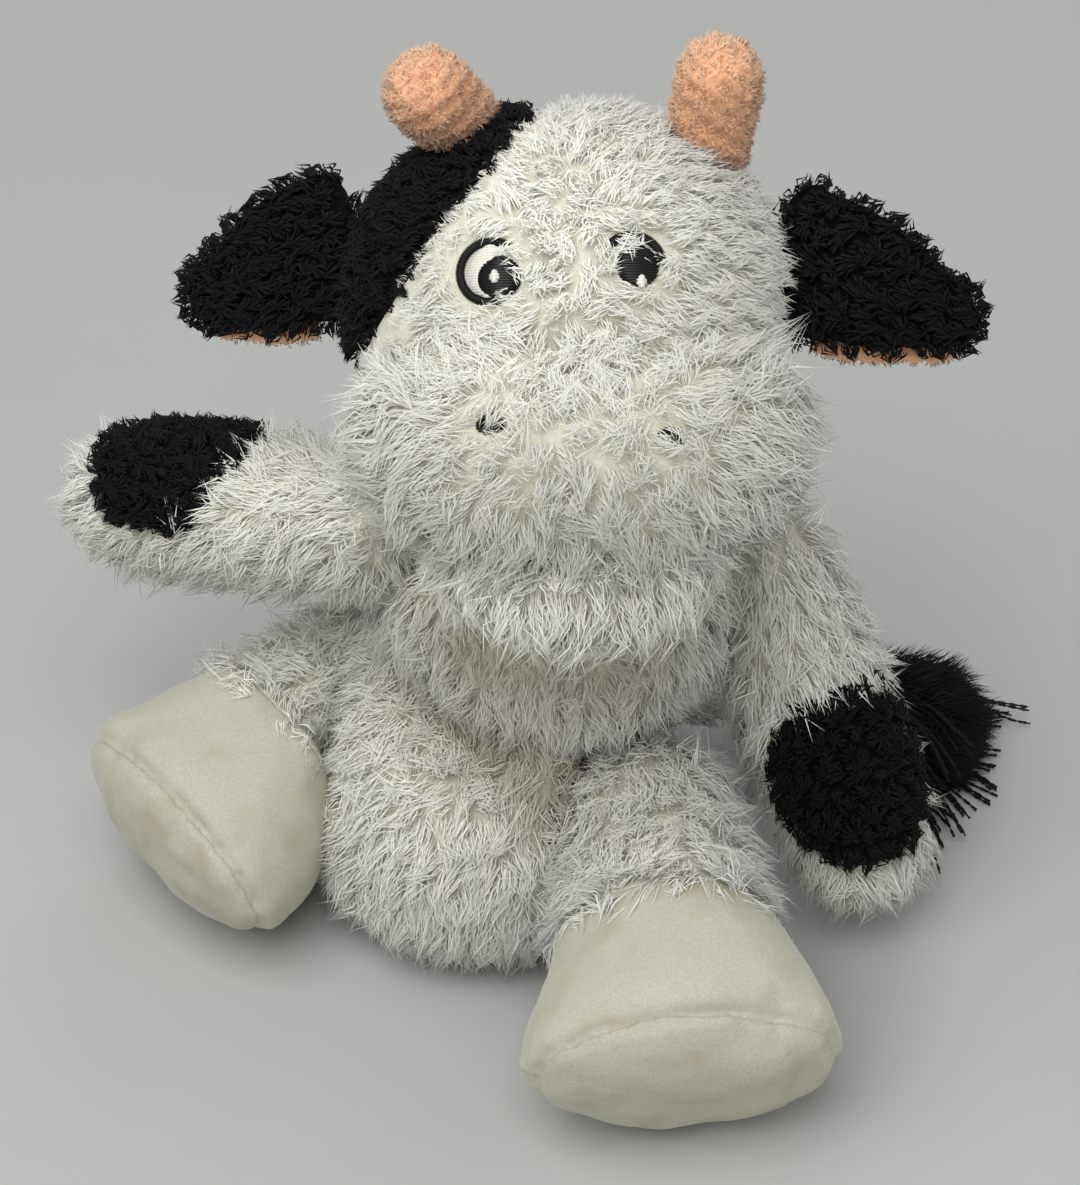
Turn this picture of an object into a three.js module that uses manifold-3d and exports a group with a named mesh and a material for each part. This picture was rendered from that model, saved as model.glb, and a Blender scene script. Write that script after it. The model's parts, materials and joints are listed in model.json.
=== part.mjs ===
// Seated floppy plush cow. Millimetres, +Z up, the face looks along -Y, +X is the cow's own left.
// The covers are shells open at their seams, with their filling inside. Each limb starts as a ball
// in an armhole of the torso, and is cut back wherever it would rub over its range.
import * as THREE from 'three';
import { mergeVertices } from 'three/addons/utils/BufferGeometryUtils.js';
import Module from 'manifold-3d';

const wasm = await Module();
wasm.setup();

// Cloth and seams
const seam = {
  wall: 3, // cover cloth with its pressed pile
  gap: 0.3, // between pieces sewn to each other
  ease: 0.5, // between pieces that turn on each other
  restDepth: 0.5, // how far the resting forms are pressed flat
  overrun: 200, // reach of a cutting block
};

// Torso: a pellet-weighted seat, a drawn-in waist and a stuffed chest
const torso = {
  seatHalfWidth: 33, seatHalfDepth: 34, seatHeight: 20, seatX: -9, seatY: -4,
  waistHalfWidth: 27, waistHalfDepth: 23, waistHeight: 45, waistX: -4, waistY: 0,
  chestHalfWidth: 32, chestHalfDepth: 28, chestHeight: 66, chestX: 3, chestY: -1,
  shoulderHalfWidth: 25, shoulderHalfDepth: 22, shoulderHeight: 81, shoulderX: 5,
  neckHalfWidth: 14, neckRise: 10, neckStub: 5,
  bottomRound: 14, openingRadius: 9, cutterGrowth: 1.1,
};
const pouch = { domeRadius: 75, height: 28 };
const neckRoll = { radius: 13, pivotDrop: 1 };

// Head, hung on the neck roll
const head = {
  halfWidth: 36, halfDepth: 32, halfHeight: 31,
  offsetX: -1, offsetY: -5, rise: 37,
  patchDepth: 13, openingRadius: 8,
};
const patchAimShares = [-0.807, 0.379, 0.452];
const muzzle = { halfWidth: 34, halfDepth: 25, halfHeight: 20, offsetX: 2, forward: 28, drop: 4 };
const chin = { halfWidth: 23, halfDepth: 18, halfHeight: 13, offsetX: 2, forward: 34, drop: 21 };
const eye = {
  halfWidth: 5.3, halfHeight: 6.6, lineWidth: 1.4, thickness: 1, pupilHalfWidth: 2.8, pupilHalfHeight: 3.6,
};
const eyeAimShares = { left: [0.27, -0.66, 0.7], right: [-0.36, -0.68, 0.65] };
const nostril = { halfWidth: 2.4, halfHeight: 1.8, thickness: 1 };
const nostrilAimShares = { left: [0.36, -0.75, 0.56], right: [-0.35, -0.7, 0.62] };
const horn = { length: 19, rootRadius: 6.6, tipRadius: 7, tipRound: 6.5, buried: 8 };
const hornRootShares = { left: [0.62, 0.3, 0.73], right: [-0.45, 0.32, 0.83] };
const hornLeanShares = { left: [0.14, 0, 0.99], right: [-0.42, -0.45, 0.79] };

// Ears: a dark cover over a pale lining, sewn in the head's side seams
const ear = {
  length: 35, rootHalfWidth: 13.5, halfWidth: 13.5, tipHalfWidth: 5, halfThickness: 2.2,
  liningHalfThickness: 1.8, liningInset: 0.6, tipRound: 5, rootRound: 2, standOff: 0.6, droop: 2,
};
const earRootShares = { left: [0.97, 0.1, 0.16], right: [-0.95, 0.16, 0.19] };
const earLeanShares = { left: [0.9, 0.1, -0.48], right: [-0.76, 0.38, -0.6] };
const earWidthShares = { left: [0.15, 0.55, 0.82], right: [-0.15, 0.6, 0.79] };
const earBellyShare = 0.25;

// Arms: from the armhole to a blunt end with a dark oval patch
const arm = {
  length: 64, rootRadius: 12.5, swellRadius: 13.8, wristRadius: 12.6, endRound: 11,
  patchHalfLength: 15.5, patchHalfWidth: 11.4, patchBack: 27, patchRise: 5.2, openingRadius: 6,
};
const armStandOutShare = 0.45;
const armSwellShare = 0.45;
const armWristShare = 0.85;
const armRootShares = { left: 0.74, right: 0.775 };
const armAngle = { left: 6, right: 180 };
const armLeanShares = { left: [0.33, -0.38, -0.86], right: [-0.8, 0.5, -0.29] };
const patchFaceShares = { left: [0.27, -0.78, 0.56], right: [0, -0.1, 0.99] };

// Legs: a stuffed thigh and a boot-shaped foot that flares to an oval sole
const leg = {
  length: 53, rootRadius: 15.5, thighRadius: 16.5, ankleRadius: 18.4,
  instepHalfWidth: 24.5, instepHalfHeight: 18.6,
  soleHalfWidth: 27.5, soleHalfHeight: 19, soleRound: 8, soleThickness: 5, footLength: 30,
  pelletLength: 13, openingRadius: 7, height: 30,
};
const legThighShare = 0.2;
const legInstepShare = 0.68;
const legRimShare = 0.9;
const legStandOff = { left: 5, right: -4 };
const legAngle = { left: -40, right: 145 };
const legHeadingAngle = { left: -84, right: -141 };

// Tail: a sewn stem with a yarn tassel lying on the floor
const tail = { length: 44, radius: 3.6, height: 11, rootRadius: 4.6, tipRound: 3 };
const tailAngle = 52;
const tailHeadingAngle = 12;
const tasselHeadingAngle = -32;
const tassel = {
  length: 30, knotRadius: 5, bellyRadius: 10.5, hemRadius: 9, lobeDepth: 1.2, lobeCount: 9, hemRound: 4,
};
const tasselBellyShare = 0.6;

// How far each joint turns
const rangeAngles = {
  neckTurn: [-25, 25], headNod: [-8, 12], leftArm: [-5, 60], rightArm: [-12, 30],
  hip: [0, 35], ear: [-20, 25], tail: [0, 45],
};
const sweepAngle = 12;
const innerSweepAngle = 24;

// Counts of sides round a form and of steps in a rounded one
const counts = {
  torsoSides: 20, limbSides: 14, innerSides: 10, smallSides: 12, cutterSides: 16, cutterSteps: 8,
  ballSteps: 2, innerBallSteps: 1, skullSteps: 4, hollowSteps: 3, pillowSteps: 4, lipSteps: 3, domeSteps: 3,
};

const up = new THREE.Vector3(0, 0, 1);
const across = new THREE.Vector3(1, 0, 0);
const vec = (x, y, z) => new THREE.Vector3(x, y, z);
const aim = (shares) => vec(...shares).normalize();
const degrees = THREE.MathUtils.degToRad;
const heading = (angle) => vec(Math.cos(degrees(angle)), Math.sin(degrees(angle)), 0);
const along = (start, direction, distance) => start.clone().addScaledVector(direction, distance);
const station = (at, halfWidth, halfDepth = halfWidth) => ({ at, halfWidth, halfDepth });

// A closed three.js geometry as a solid that can be joined and cut
function solidOf(geometry) {
  const bare = geometry.clone();
  bare.deleteAttribute('normal');
  bare.deleteAttribute('uv');
  const merged = mergeVertices(bare);
  return new wasm.Manifold(new wasm.Mesh({
    numProp: 3,
    vertProperties: Float32Array.from(merged.attributes.position.array),
    triVerts: Uint32Array.from(merged.index.array),
  }));
}

// The same solid turned about an axis through a point
function turned(solid, pivot, axis, angle) {
  const matrix = new THREE.Matrix4().makeTranslation(pivot)
    .multiply(new THREE.Matrix4().makeRotationAxis(axis, degrees(angle)))
    .multiply(new THREE.Matrix4().makeTranslation(pivot.clone().negate()));
  return solid.transform(matrix.toArray());
}

function ellipsoid(centre, radii, detail, inset = 0) {
  const geometry = new THREE.IcosahedronGeometry(1, detail);
  geometry.scale(radii.x - inset, radii.y - inset, radii.z - inset);
  geometry.translate(centre.x, centre.y, centre.z);
  return solidOf(geometry);
}

const ball = (centre, radius, detail = counts.ballSteps) =>
  ellipsoid(centre, vec(radius, radius, radius), detail);

// A block that fills everything beyond a plane, on the side that the direction points to
function beyond(point, direction) {
  const block = new THREE.BoxGeometry(seam.overrun, seam.overrun, seam.overrun);
  block.translate(0, 0, seam.overrun / 2);
  block.applyQuaternion(new THREE.Quaternion().setFromUnitVectors(up, direction));
  block.translate(point.x, point.y, point.z);
  return solidOf(block);
}

// A straight oval bar from a point along a direction; its width lies along side
function ovalBar(point, direction, side, halfWidth, halfHeight, length, sides = counts.limbSides) {
  const wide = side.clone().addScaledVector(direction, -side.dot(direction)).normalize();
  const tall = direction.clone().cross(wide);
  const bar = new THREE.CylinderGeometry(1, 1, 1, sides);
  bar.rotateX(Math.PI / 2);
  bar.translate(0, 0, 1 / 2);
  bar.scale(halfWidth, halfHeight, length);
  bar.applyMatrix4(new THREE.Matrix4().makeBasis(wide, tall, direction).setPosition(point));
  return solidOf(bar);
}

// A stuffed form: oval sections that swell and taper along a spine, with rounded ends
function spineOf(form) {
  const spine = new THREE.CatmullRomCurve3(form.stations.map((one) => one.at));
  const girth = new THREE.CatmullRomCurve3(form.stations.map((one) => vec(one.halfWidth, one.halfDepth, 0)));
  return { spine, girth, length: spine.getLength() };
}

function sectionAt(form, { spine, girth }, share) {
  const size = girth.getPoint(spine.getUtoTmapping(share));
  const centre = spine.getPointAt(share);
  const tangent = spine.getTangentAt(share);
  const wide = form.side.clone().addScaledVector(tangent, -form.side.dot(tangent)).normalize();
  const deep = tangent.clone().cross(wide);
  return { centre, tangent, wide, deep, size };
}

function stuffed(form, inset = 0) {
  const curves = spineOf(form);
  const rings = [];
  const count = inset > 0 ? counts.innerSides : form.sides;
  const capSteps = form.capSteps ?? 3;
  const startCap = form.startRound - inset;
  const endCap = form.endRound - inset;
  for (let step = 0; step <= capSteps; step += 1) {
    const turn = (Math.PI / 2) * (step / capSteps);
    rings.push({ distance: inset + startCap * (1 - Math.cos(turn)), swell: Math.sin(turn) });
  }
  const bodyLength = curves.length - form.startRound - form.endRound;
  for (let step = 1; step < form.steps; step += 1) {
    rings.push({ distance: form.startRound + bodyLength * (step / form.steps), swell: 1 });
  }
  for (let step = capSteps; step >= 0; step -= 1) {
    const turn = (Math.PI / 2) * (step / capSteps);
    rings.push({ distance: curves.length - inset - endCap * (1 - Math.cos(turn)), swell: Math.sin(turn) });
  }
  const places = [];
  const faces = [];
  const last = rings.length - 1;
  rings.forEach(({ distance, swell }, index) => {
    const share = Math.min(Math.max(distance / curves.length, 0), 1);
    const { centre, wide, deep, size } = sectionAt(form, curves, share);
    if (index === 0 || index === last) {
      places.push(...centre.toArray());
      return;
    }
    for (let side = 0; side < count; side += 1) {
      const turn = 2 * Math.PI * (side / count);
      const lobe = form.lobeCount ? form.lobeDepth * (1 + Math.cos(form.lobeCount * turn)) / 2 : 0;
      const place = centre.clone()
        .addScaledVector(wide, (size.x - inset - lobe) * swell * Math.cos(turn))
        .addScaledVector(deep, (size.y - inset - lobe) * swell * Math.sin(turn));
      places.push(...place.toArray());
    }
  });
  const vertex = (ring, side) => 1 + (ring - 1) * count + (side % count);
  const endPole = 1 + (last - 1) * count;
  for (let side = 0; side < count; side += 1) {
    faces.push(0, vertex(1, side + 1), vertex(1, side));
    for (let ring = 1; ring < last - 1; ring += 1) {
      faces.push(vertex(ring, side), vertex(ring, side + 1), vertex(ring + 1, side));
      faces.push(vertex(ring, side + 1), vertex(ring + 1, side + 1), vertex(ring + 1, side));
    }
    faces.push(endPole, vertex(last - 1, side), vertex(last - 1, side + 1));
  }
  const geometry = new THREE.BufferGeometry();
  geometry.setAttribute('position', new THREE.Float32BufferAttribute(places, 3));
  geometry.setIndex(faces);
  return solidOf(geometry);
}

// A place on a stuffed form's surface, at a share of its spine and an angle around it
function placeOn(form, share, angle, out) {
  const { centre, wide, deep, size } = sectionAt(form, spineOf(form), share);
  const outward = wide.clone().multiplyScalar(Math.cos(degrees(angle)))
    .addScaledVector(deep, Math.sin(degrees(angle)));
  return centre.addScaledVector(wide, size.x * Math.cos(degrees(angle)))
    .addScaledVector(deep, size.y * Math.sin(degrees(angle)))
    .addScaledVector(outward, out);
}

// A form cut back wherever the other solid would rub on it between two joint angles
function clearOver(form, other, pivot, axis, [from, to], stepAngle = sweepAngle) {
  const steps = Math.ceil((to - from) / stepAngle);
  let result = form;
  for (let step = 0; step <= steps; step += 1) {
    const angle = from + (to - from) * (step / steps);
    result = result.subtract(turned(other, pivot, axis, -angle));
  }
  return result;
}

// Each moving body is a group at its pivot, with the axis that it turns about and its range
const toy = new THREE.Group();
const joints = {};
function jointGroup(name, pivot, parent = null, axis = null, limits = null) {
  const group = new THREE.Group();
  const holder = parent ? joints[parent] : null;
  group.name = `${name}_body`;
  group.userData = { axis, limits };
  group.position.copy(holder ? pivot.clone().sub(holder.pivot) : pivot);
  (holder ? holder.group : toy).add(group);
  joints[name] = { group, pivot: pivot.clone() };
}

const cloth = (colour, roughness) => ({ colour, roughness });
const finishes = {
  whitePile: cloth('#e4e1d8', 0.9), blackPile: cloth('#17181a', 0.95), peach: cloth('#e2b08c', 0.95),
  velour: cloth('#d3d1be', 0.85), sole: cloth('#c6c5b6', 0.9), fibre: cloth('#f2f1ec', 1),
  pellets: cloth('#c9cfd6', 0.5), thread: cloth('#101114', 0.6), seamCloth: cloth('#d9d6cb', 0.95),
};

function addPiece(name, solid, finish, joint) {
  const { vertProperties, triVerts } = solid.getMesh();
  const geometry = new THREE.BufferGeometry();
  geometry.setAttribute('position', new THREE.BufferAttribute(Float32Array.from(vertProperties), 3));
  geometry.setIndex(Array.from(triVerts));
  const { group, pivot } = joints[joint];
  geometry.translate(-pivot.x, -pivot.y, -pivot.z);
  geometry.computeVertexNormals();
  const material = new THREE.MeshStandardMaterial({
    color: finishes[finish].colour, roughness: finishes[finish].roughness, metalness: 0,
  });
  const mesh = new THREE.Mesh(geometry, material);
  mesh.name = name;
  group.add(mesh);
}

// Torso form, from its resting face to the neck stub
const seat = vec(torso.seatX, torso.seatY, torso.seatHeight);
const neckTop = vec(torso.shoulderX, torso.chestY, torso.shoulderHeight + torso.neckRise);
const torsoForm = {
  stations: [
    station(vec(torso.seatX, torso.seatY, -seam.restDepth), torso.seatHalfWidth, torso.seatHalfDepth),
    station(seat, torso.seatHalfWidth, torso.seatHalfDepth),
    station(vec(torso.waistX, torso.waistY, torso.waistHeight), torso.waistHalfWidth, torso.waistHalfDepth),
    station(vec(torso.chestX, torso.chestY, torso.chestHeight), torso.chestHalfWidth, torso.chestHalfDepth),
    station(vec(torso.shoulderX, torso.chestY, torso.shoulderHeight),
      torso.shoulderHalfWidth, torso.shoulderHalfDepth),
    station(along(neckTop, up, torso.neckStub), torso.neckHalfWidth),
  ],
  side: across, startRound: torso.bottomRound, endRound: torso.neckStub,
  steps: 9, sides: counts.torsoSides,
};
const cutterForm = { ...torsoForm, steps: counts.cutterSteps, sides: counts.cutterSides, capSteps: 2 };
const torsoGrown = (distance) => stuffed(cutterForm, -distance - torso.cutterGrowth);
const floor = beyond(vec(0, 0, 0), up.clone().negate());
const aboveNeck = beyond(neckTop, up);

// Limb roots on the torso's surface
const armPivot = {};
const legPivot = {};
for (const side of ['left', 'right']) {
  const out = arm.rootRadius * armStandOutShare;
  armPivot[side] = placeOn(torsoForm, armRootShares[side], armAngle[side], out);
  const legShare = leg.height / spineOf(torsoForm).length;
  legPivot[side] = placeOn(torsoForm, legShare, legAngle[side], legStandOff[side]);
}
const tailPivot = placeOn(torsoForm, tail.height / spineOf(torsoForm).length, tailAngle, tail.rootRadius / 2);
const neckPivot = along(neckTop, up, -neckRoll.pivotDrop);

// Every root's ball, with the ease that it turns in
let sockets = ball(tailPivot, tail.rootRadius + seam.ease);
for (const side of ['left', 'right']) {
  sockets = sockets.add(ball(armPivot[side], arm.rootRadius + seam.ease));
  sockets = sockets.add(ball(legPivot[side], leg.rootRadius + seam.ease));
}

// Torso: cover, pellet pouch and fibre filling
const aboveNeckInside = beyond(along(neckTop, up, -seam.gap), up);
const torsoInner = stuffed(torsoForm, seam.wall);
const torsoFill = stuffed(torsoForm, seam.wall + seam.gap);
const neckHole = ovalBar(along(neckTop, up, -torso.openingRadius), up, across,
  torso.openingRadius, torso.openingRadius, seam.overrun);
jointGroup('torso', seat);
addPiece('torso_cover', stuffed(torsoForm).subtract(torsoInner).subtract(neckHole)
  .subtract(aboveNeck).subtract(floor).subtract(sockets), 'whitePile', 'torso');
const pouchDome = (inset) => ellipsoid(vec(torso.seatX, torso.seatY, 0),
  vec(pouch.domeRadius, pouch.domeRadius, pouch.height), counts.domeSteps, inset);
addPiece('pellet_pouch', torsoFill.intersect(pouchDome(0)).subtract(sockets), 'pellets', 'torso');
addPiece('torso_filling', torsoFill.subtract(pouchDome(-seam.gap)).subtract(aboveNeckInside)
  .subtract(sockets), 'fibre', 'torso');

// Neck roll: the turned-in cloth between torso and head, which turns on the torso
jointGroup('neck', neckPivot, 'torso', up, rangeAngles.neckTurn);
const belowRoll = beyond(along(neckTop, up, seam.gap), up.clone().negate());
addPiece('neck_roll', ball(neckPivot, neckRoll.radius, counts.domeSteps).subtract(belowRoll),
  'seamCloth', 'neck');

// Head: cover with the dark panel let in, and filling
jointGroup('head', neckPivot, 'neck', across, rangeAngles.headNod);
const skullCentre = vec(neckTop.x + head.offsetX, neckTop.y + head.offsetY, neckTop.z + head.rise);
const skullSize = vec(head.halfWidth, head.halfDepth, head.halfHeight);
const skullFacets = (inset) => (inset > 0 ? counts.hollowSteps : counts.skullSteps);
const skull = (inset) => ellipsoid(skullCentre, skullSize, skullFacets(inset), inset);
const onSkull = (shares, out) => {
  const direction = aim(shares);
  return along(skullCentre.clone().add(direction.clone().multiply(skullSize)), direction, out);
};
const neckSeat = ball(neckPivot, neckRoll.radius + seam.ease, counts.domeSteps);
const torsoUnderHead = torsoGrown(seam.ease).subtract(aboveNeck);
const headShape = clearOver(skull(0), torsoUnderHead, neckPivot, across, rangeAngles.headNod)
  .subtract(neckSeat);
const patchAim = aim(patchAimShares);
const patchEdge = along(onSkull(patchAimShares, 0), patchAim, -head.patchDepth);
const headShell = headShape.subtract(skull(seam.wall))
  .subtract(ovalBar(neckPivot, up, across, head.openingRadius, head.openingRadius, head.rise));
addPiece('head_cover', headShell.subtract(beyond(patchEdge, patchAim)), 'whitePile', 'head');
addPiece('head_patch', headShell.intersect(beyond(along(patchEdge, patchAim, seam.gap), patchAim)),
  'blackPile', 'head');
addPiece('head_filling', skull(seam.wall + seam.gap).subtract(neckSeat), 'fibre', 'head');

// Muzzle and chin, each a stuffed pouch sewn on the face
const inFace = (piece) => skullCentre.clone().add(vec(piece.offsetX, -piece.forward, -piece.drop));
const muzzleCentre = inFace(muzzle);
const muzzleSize = vec(muzzle.halfWidth, muzzle.halfDepth, muzzle.halfHeight);
const muzzleFacets = (inset) => (inset > 0 ? counts.hollowSteps : counts.pillowSteps);
const muzzleForm = (inset) => ellipsoid(muzzleCentre, muzzleSize, muzzleFacets(inset), inset);
const chinCentre = inFace(chin);
const chinSize = vec(chin.halfWidth, chin.halfDepth, chin.halfHeight);
addPiece('muzzle_cover', muzzleForm(0).subtract(muzzleForm(seam.wall)).subtract(skull(-seam.gap)),
  'whitePile', 'head');
addPiece('muzzle_filling', muzzleForm(seam.wall + seam.gap).subtract(skull(-seam.gap - seam.wall)),
  'fibre', 'head');
addPiece('chin', ellipsoid(chinCentre, chinSize, counts.lipSteps).subtract(skull(-seam.gap))
  .subtract(muzzleForm(-seam.gap)), 'whitePile', 'head');

// An embroidered oval lying on a rounded surface, with an oval left open in it
function motif(surface, centre, size, aimShares, thickness, outline, open = null) {
  const direction = aim(aimShares);
  const reach = outline.halfHeight * 2;
  const inside = along(centre.clone().add(direction.clone().multiply(size)), direction, -outline.halfHeight);
  const bar = (oval) => ovalBar(inside, direction, across, oval.halfWidth, oval.halfHeight, reach,
    counts.innerSides);
  const stitches = surface(-seam.gap - thickness).intersect(bar(outline)).subtract(surface(-seam.gap));
  return open ? stitches.subtract(bar(open)) : stitches;
}

for (const side of ['left', 'right']) {
  const white = { halfWidth: eye.halfWidth - eye.lineWidth, halfHeight: eye.halfHeight - eye.lineWidth };
  const pupil = { halfWidth: eye.pupilHalfWidth, halfHeight: eye.pupilHalfHeight };
  const onFace = (outline, open) => motif(skull, skullCentre, skullSize, eyeAimShares[side],
    eye.thickness, outline, open);
  addPiece(`${side}_eye_outline`, onFace(eye, white).subtract(muzzleForm(-seam.gap)), 'thread', 'head');
  addPiece(`${side}_eye_pupil`, onFace(pupil), 'thread', 'head');
  addPiece(`${side}_nostril`, motif(muzzleForm, muzzleCentre, muzzleSize, nostrilAimShares[side],
    nostril.thickness, nostril), 'thread', 'head');

  const hornRoot = onSkull(hornRootShares[side], 0);
  const hornLean = aim(hornLeanShares[side]);
  const hornForm = {
    stations: [
      station(along(hornRoot, hornLean, -horn.buried), horn.rootRadius),
      station(hornRoot, horn.rootRadius),
      station(along(hornRoot, hornLean, horn.length), horn.tipRadius),
    ],
    side: across, startRound: horn.rootRadius / 2, endRound: horn.tipRound,
    steps: 5, sides: counts.smallSides, capSteps: 3,
  };
  addPiece(`${side}_horn`, stuffed(hornForm).subtract(skull(-seam.gap)), 'peach', 'head');
}

// Ears
for (const side of ['left', 'right']) {
  const root = onSkull(earRootShares[side], ear.standOff + ear.halfThickness);
  const lean = aim(earLeanShares[side]);
  const wide = aim(earWidthShares[side]);
  const level = wide.clone().addScaledVector(lean, -wide.dot(lean)).normalize();
  const outward = side === 'left' ? 1 : -1;
  const face = lean.clone().cross(level).multiplyScalar(outward);
  const flapAxis = level.clone().multiplyScalar(-outward);
  const belly = along(along(root, lean, ear.length * earBellyShare), face, ear.droop);
  const earForm = (lift, halfThickness, narrow) => ({
    stations: [
      station(along(along(root, lean, -ear.rootRound), face, lift), ear.rootHalfWidth - narrow,
        halfThickness),
      station(along(belly, face, lift), ear.halfWidth - narrow, halfThickness),
      station(along(along(root, lean, ear.length - narrow), face, lift), ear.tipHalfWidth - narrow,
        halfThickness),
    ],
    side: level, startRound: ear.rootRound, endRound: ear.tipRound,
    steps: 5, sides: counts.smallSides, capSteps: 2,
  });
  jointGroup(`${side}_ear`, root, 'head', flapAxis, rangeAngles.ear);
  const cover = earForm(0, ear.halfThickness, 0);
  const liningLift = -(ear.halfThickness + ear.liningHalfThickness) / 2;
  const lining = earForm(liningLift, ear.liningHalfThickness, ear.liningInset);
  const keepOff = (solid) => clearOver(solid, skull(-seam.ease), root, flapAxis, rangeAngles.ear);
  addPiece(`${side}_ear_cover`, keepOff(stuffed(cover)), 'blackPile', `${side}_ear`);
  const backing = keepOff(stuffed(lining).subtract(stuffed(cover, -seam.gap)));
  addPiece(`${side}_ear_lining`, backing, 'peach', `${side}_ear`);
}

// A limb's outline at an inset: its root ball and its sleeve, cleared over the joint's range
function limb(form, pivot, rootRadius, axis, limits, inset) {
  const step = inset > 0 ? innerSweepAngle : sweepAngle;
  const sleeve = clearOver(stuffed(form, inset), torsoGrown(seam.ease + inset), pivot, axis, limits, step);
  return sleeve.add(ball(pivot, rootRadius - inset, inset > 0 ? counts.innerBallSteps : counts.ballSteps));
}

// Arms
const armAxis = { left: vec(0, -1, 0), right: vec(0, 1, 0) };
const armRange = { left: rangeAngles.leftArm, right: rangeAngles.rightArm };
for (const side of ['left', 'right']) {
  const pivot = armPivot[side];
  const lean = aim(armLeanShares[side]);
  const at = (share) => along(pivot, lean, arm.length * share);
  const form = {
    stations: [
      station(at(0), arm.rootRadius),
      station(at(armSwellShare), arm.swellRadius),
      station(at(armWristShare), arm.wristRadius),
      station(at(1), arm.wristRadius),
    ],
    side: up.clone().cross(lean).normalize(), startRound: arm.rootRadius / 2, endRound: arm.endRound,
    steps: 6, sides: counts.limbSides,
  };
  const shape = (inset) => limb(form, pivot, arm.rootRadius, armAxis[side], armRange[side], inset);
  const inward = lean.clone().negate();
  const opening = ovalBar(pivot, inward, form.side, arm.openingRadius, arm.openingRadius, arm.rootRadius * 2);
  const shell = shape(0).subtract(shape(seam.wall)).subtract(opening);
  const facing = aim(patchFaceShares[side]);
  const square = facing.clone().addScaledVector(lean, -facing.dot(lean)).normalize();
  const patchRoot = along(along(pivot, lean, arm.length - arm.patchBack), square, arm.patchRise);
  const oval = (grow) => ovalBar(patchRoot, square, lean, arm.patchHalfLength + grow,
    arm.patchHalfWidth + grow, arm.length);
  jointGroup(`${side}_arm`, pivot, 'torso', armAxis[side], armRange[side]);
  addPiece(`${side}_arm_cover`, shell.subtract(oval(seam.gap)), 'whitePile', `${side}_arm`);
  addPiece(`${side}_arm_patch`, shell.intersect(oval(0)), 'blackPile', `${side}_arm`);
  addPiece(`${side}_arm_filling`, shape(seam.wall + seam.gap), 'fibre', `${side}_arm`);
}

// Legs: each slopes down until its sole's lower edge rests on the floor
for (const side of ['left', 'right']) {
  const pivot = legPivot[side];
  const reach = Math.hypot(leg.length, leg.soleHalfHeight);
  const slope = Math.asin((pivot.z + seam.restDepth) / reach) - Math.atan2(leg.soleHalfHeight, leg.length);
  const level = heading(legHeadingAngle[side]);
  const lean = level.clone().multiplyScalar(Math.cos(slope)).addScaledVector(up, -Math.sin(slope));
  const axis = level.clone().cross(up).normalize();
  const at = (share) => along(pivot, lean, leg.length * share);
  const ankleShare = 1 - leg.footLength / leg.length;
  const form = {
    stations: [
      station(at(0), leg.rootRadius),
      station(at(legThighShare), leg.thighRadius),
      station(at(ankleShare), leg.ankleRadius),
      station(at(legInstepShare), leg.instepHalfWidth, leg.instepHalfHeight),
      station(at(legRimShare), leg.soleHalfWidth, leg.soleHalfHeight),
      station(at(1), leg.soleHalfWidth, leg.soleHalfHeight),
    ],
    side: axis, startRound: leg.rootRadius / 2, endRound: leg.soleRound, steps: 8, sides: counts.limbSides,
  };
  const shape = (inset) => limb(form, pivot, leg.rootRadius, axis, rangeAngles.hip, inset).subtract(floor);
  const past = (distance) => beyond(along(pivot, lean, distance), lean);
  const before = (distance) => beyond(along(pivot, lean, distance + seam.gap), lean.clone().negate());
  const ankle = leg.length - leg.footLength;
  const soleFace = leg.length - leg.soleThickness;
  const opening = ovalBar(pivot, lean.clone().negate(), axis, leg.openingRadius, leg.openingRadius,
    leg.rootRadius * 2);
  const shell = shape(0).subtract(shape(seam.wall)).subtract(opening);
  const filling = shape(seam.wall + seam.gap);
  const pelletFace = soleFace - leg.pelletLength;
  jointGroup(`${side}_leg`, pivot, 'torso', axis, rangeAngles.hip);
  addPiece(`${side}_leg_cover`, shell.subtract(past(ankle)), 'whitePile', `${side}_leg`);
  addPiece(`${side}_foot_cover`, shell.subtract(before(ankle)).subtract(past(soleFace)),
    'velour', `${side}_leg`);
  addPiece(`${side}_foot_sole`, shape(0).subtract(before(soleFace)), 'sole', `${side}_leg`);
  addPiece(`${side}_leg_filling`, filling.subtract(past(pelletFace)), 'fibre', `${side}_leg`);
  addPiece(`${side}_foot_pellets`, filling.subtract(before(pelletFace)).subtract(past(soleFace)),
    'pellets', `${side}_leg`);
}

// Tail
const tailLevel = heading(tailHeadingAngle);
const tailAxis = tailLevel.clone().cross(up).normalize();
const tailSlope = Math.asin((tailPivot.z - tassel.bellyRadius + seam.restDepth) / tail.length);
const tailLean = tailLevel.clone().multiplyScalar(Math.cos(tailSlope))
  .addScaledVector(up, -Math.sin(tailSlope));
const tailEnd = along(tailPivot, tailLean, tail.length);
const tailForm = {
  stations: [
    station(tailPivot, tail.radius),
    station(tailEnd, tail.radius),
  ],
  side: up, startRound: tail.radius / 2, endRound: tail.tipRound,
  steps: 5, sides: counts.smallSides, capSteps: 2,
};
const tasselLevel = heading(tasselHeadingAngle);
const tasselTip = along(tailEnd, tasselLevel, tassel.length);
const tasselForm = {
  stations: [
    station(tailEnd, tassel.knotRadius),
    station(along(tailEnd, tasselLevel, tassel.length * tasselBellyShare), tassel.bellyRadius),
    station(tasselTip, tassel.hemRadius),
  ],
  side: up, startRound: tassel.knotRadius / 2, endRound: tassel.hemRound, steps: 5,
  sides: tassel.lobeCount * 4, lobeCount: tassel.lobeCount, lobeDepth: tassel.lobeDepth, capSteps: 2,
};
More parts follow.
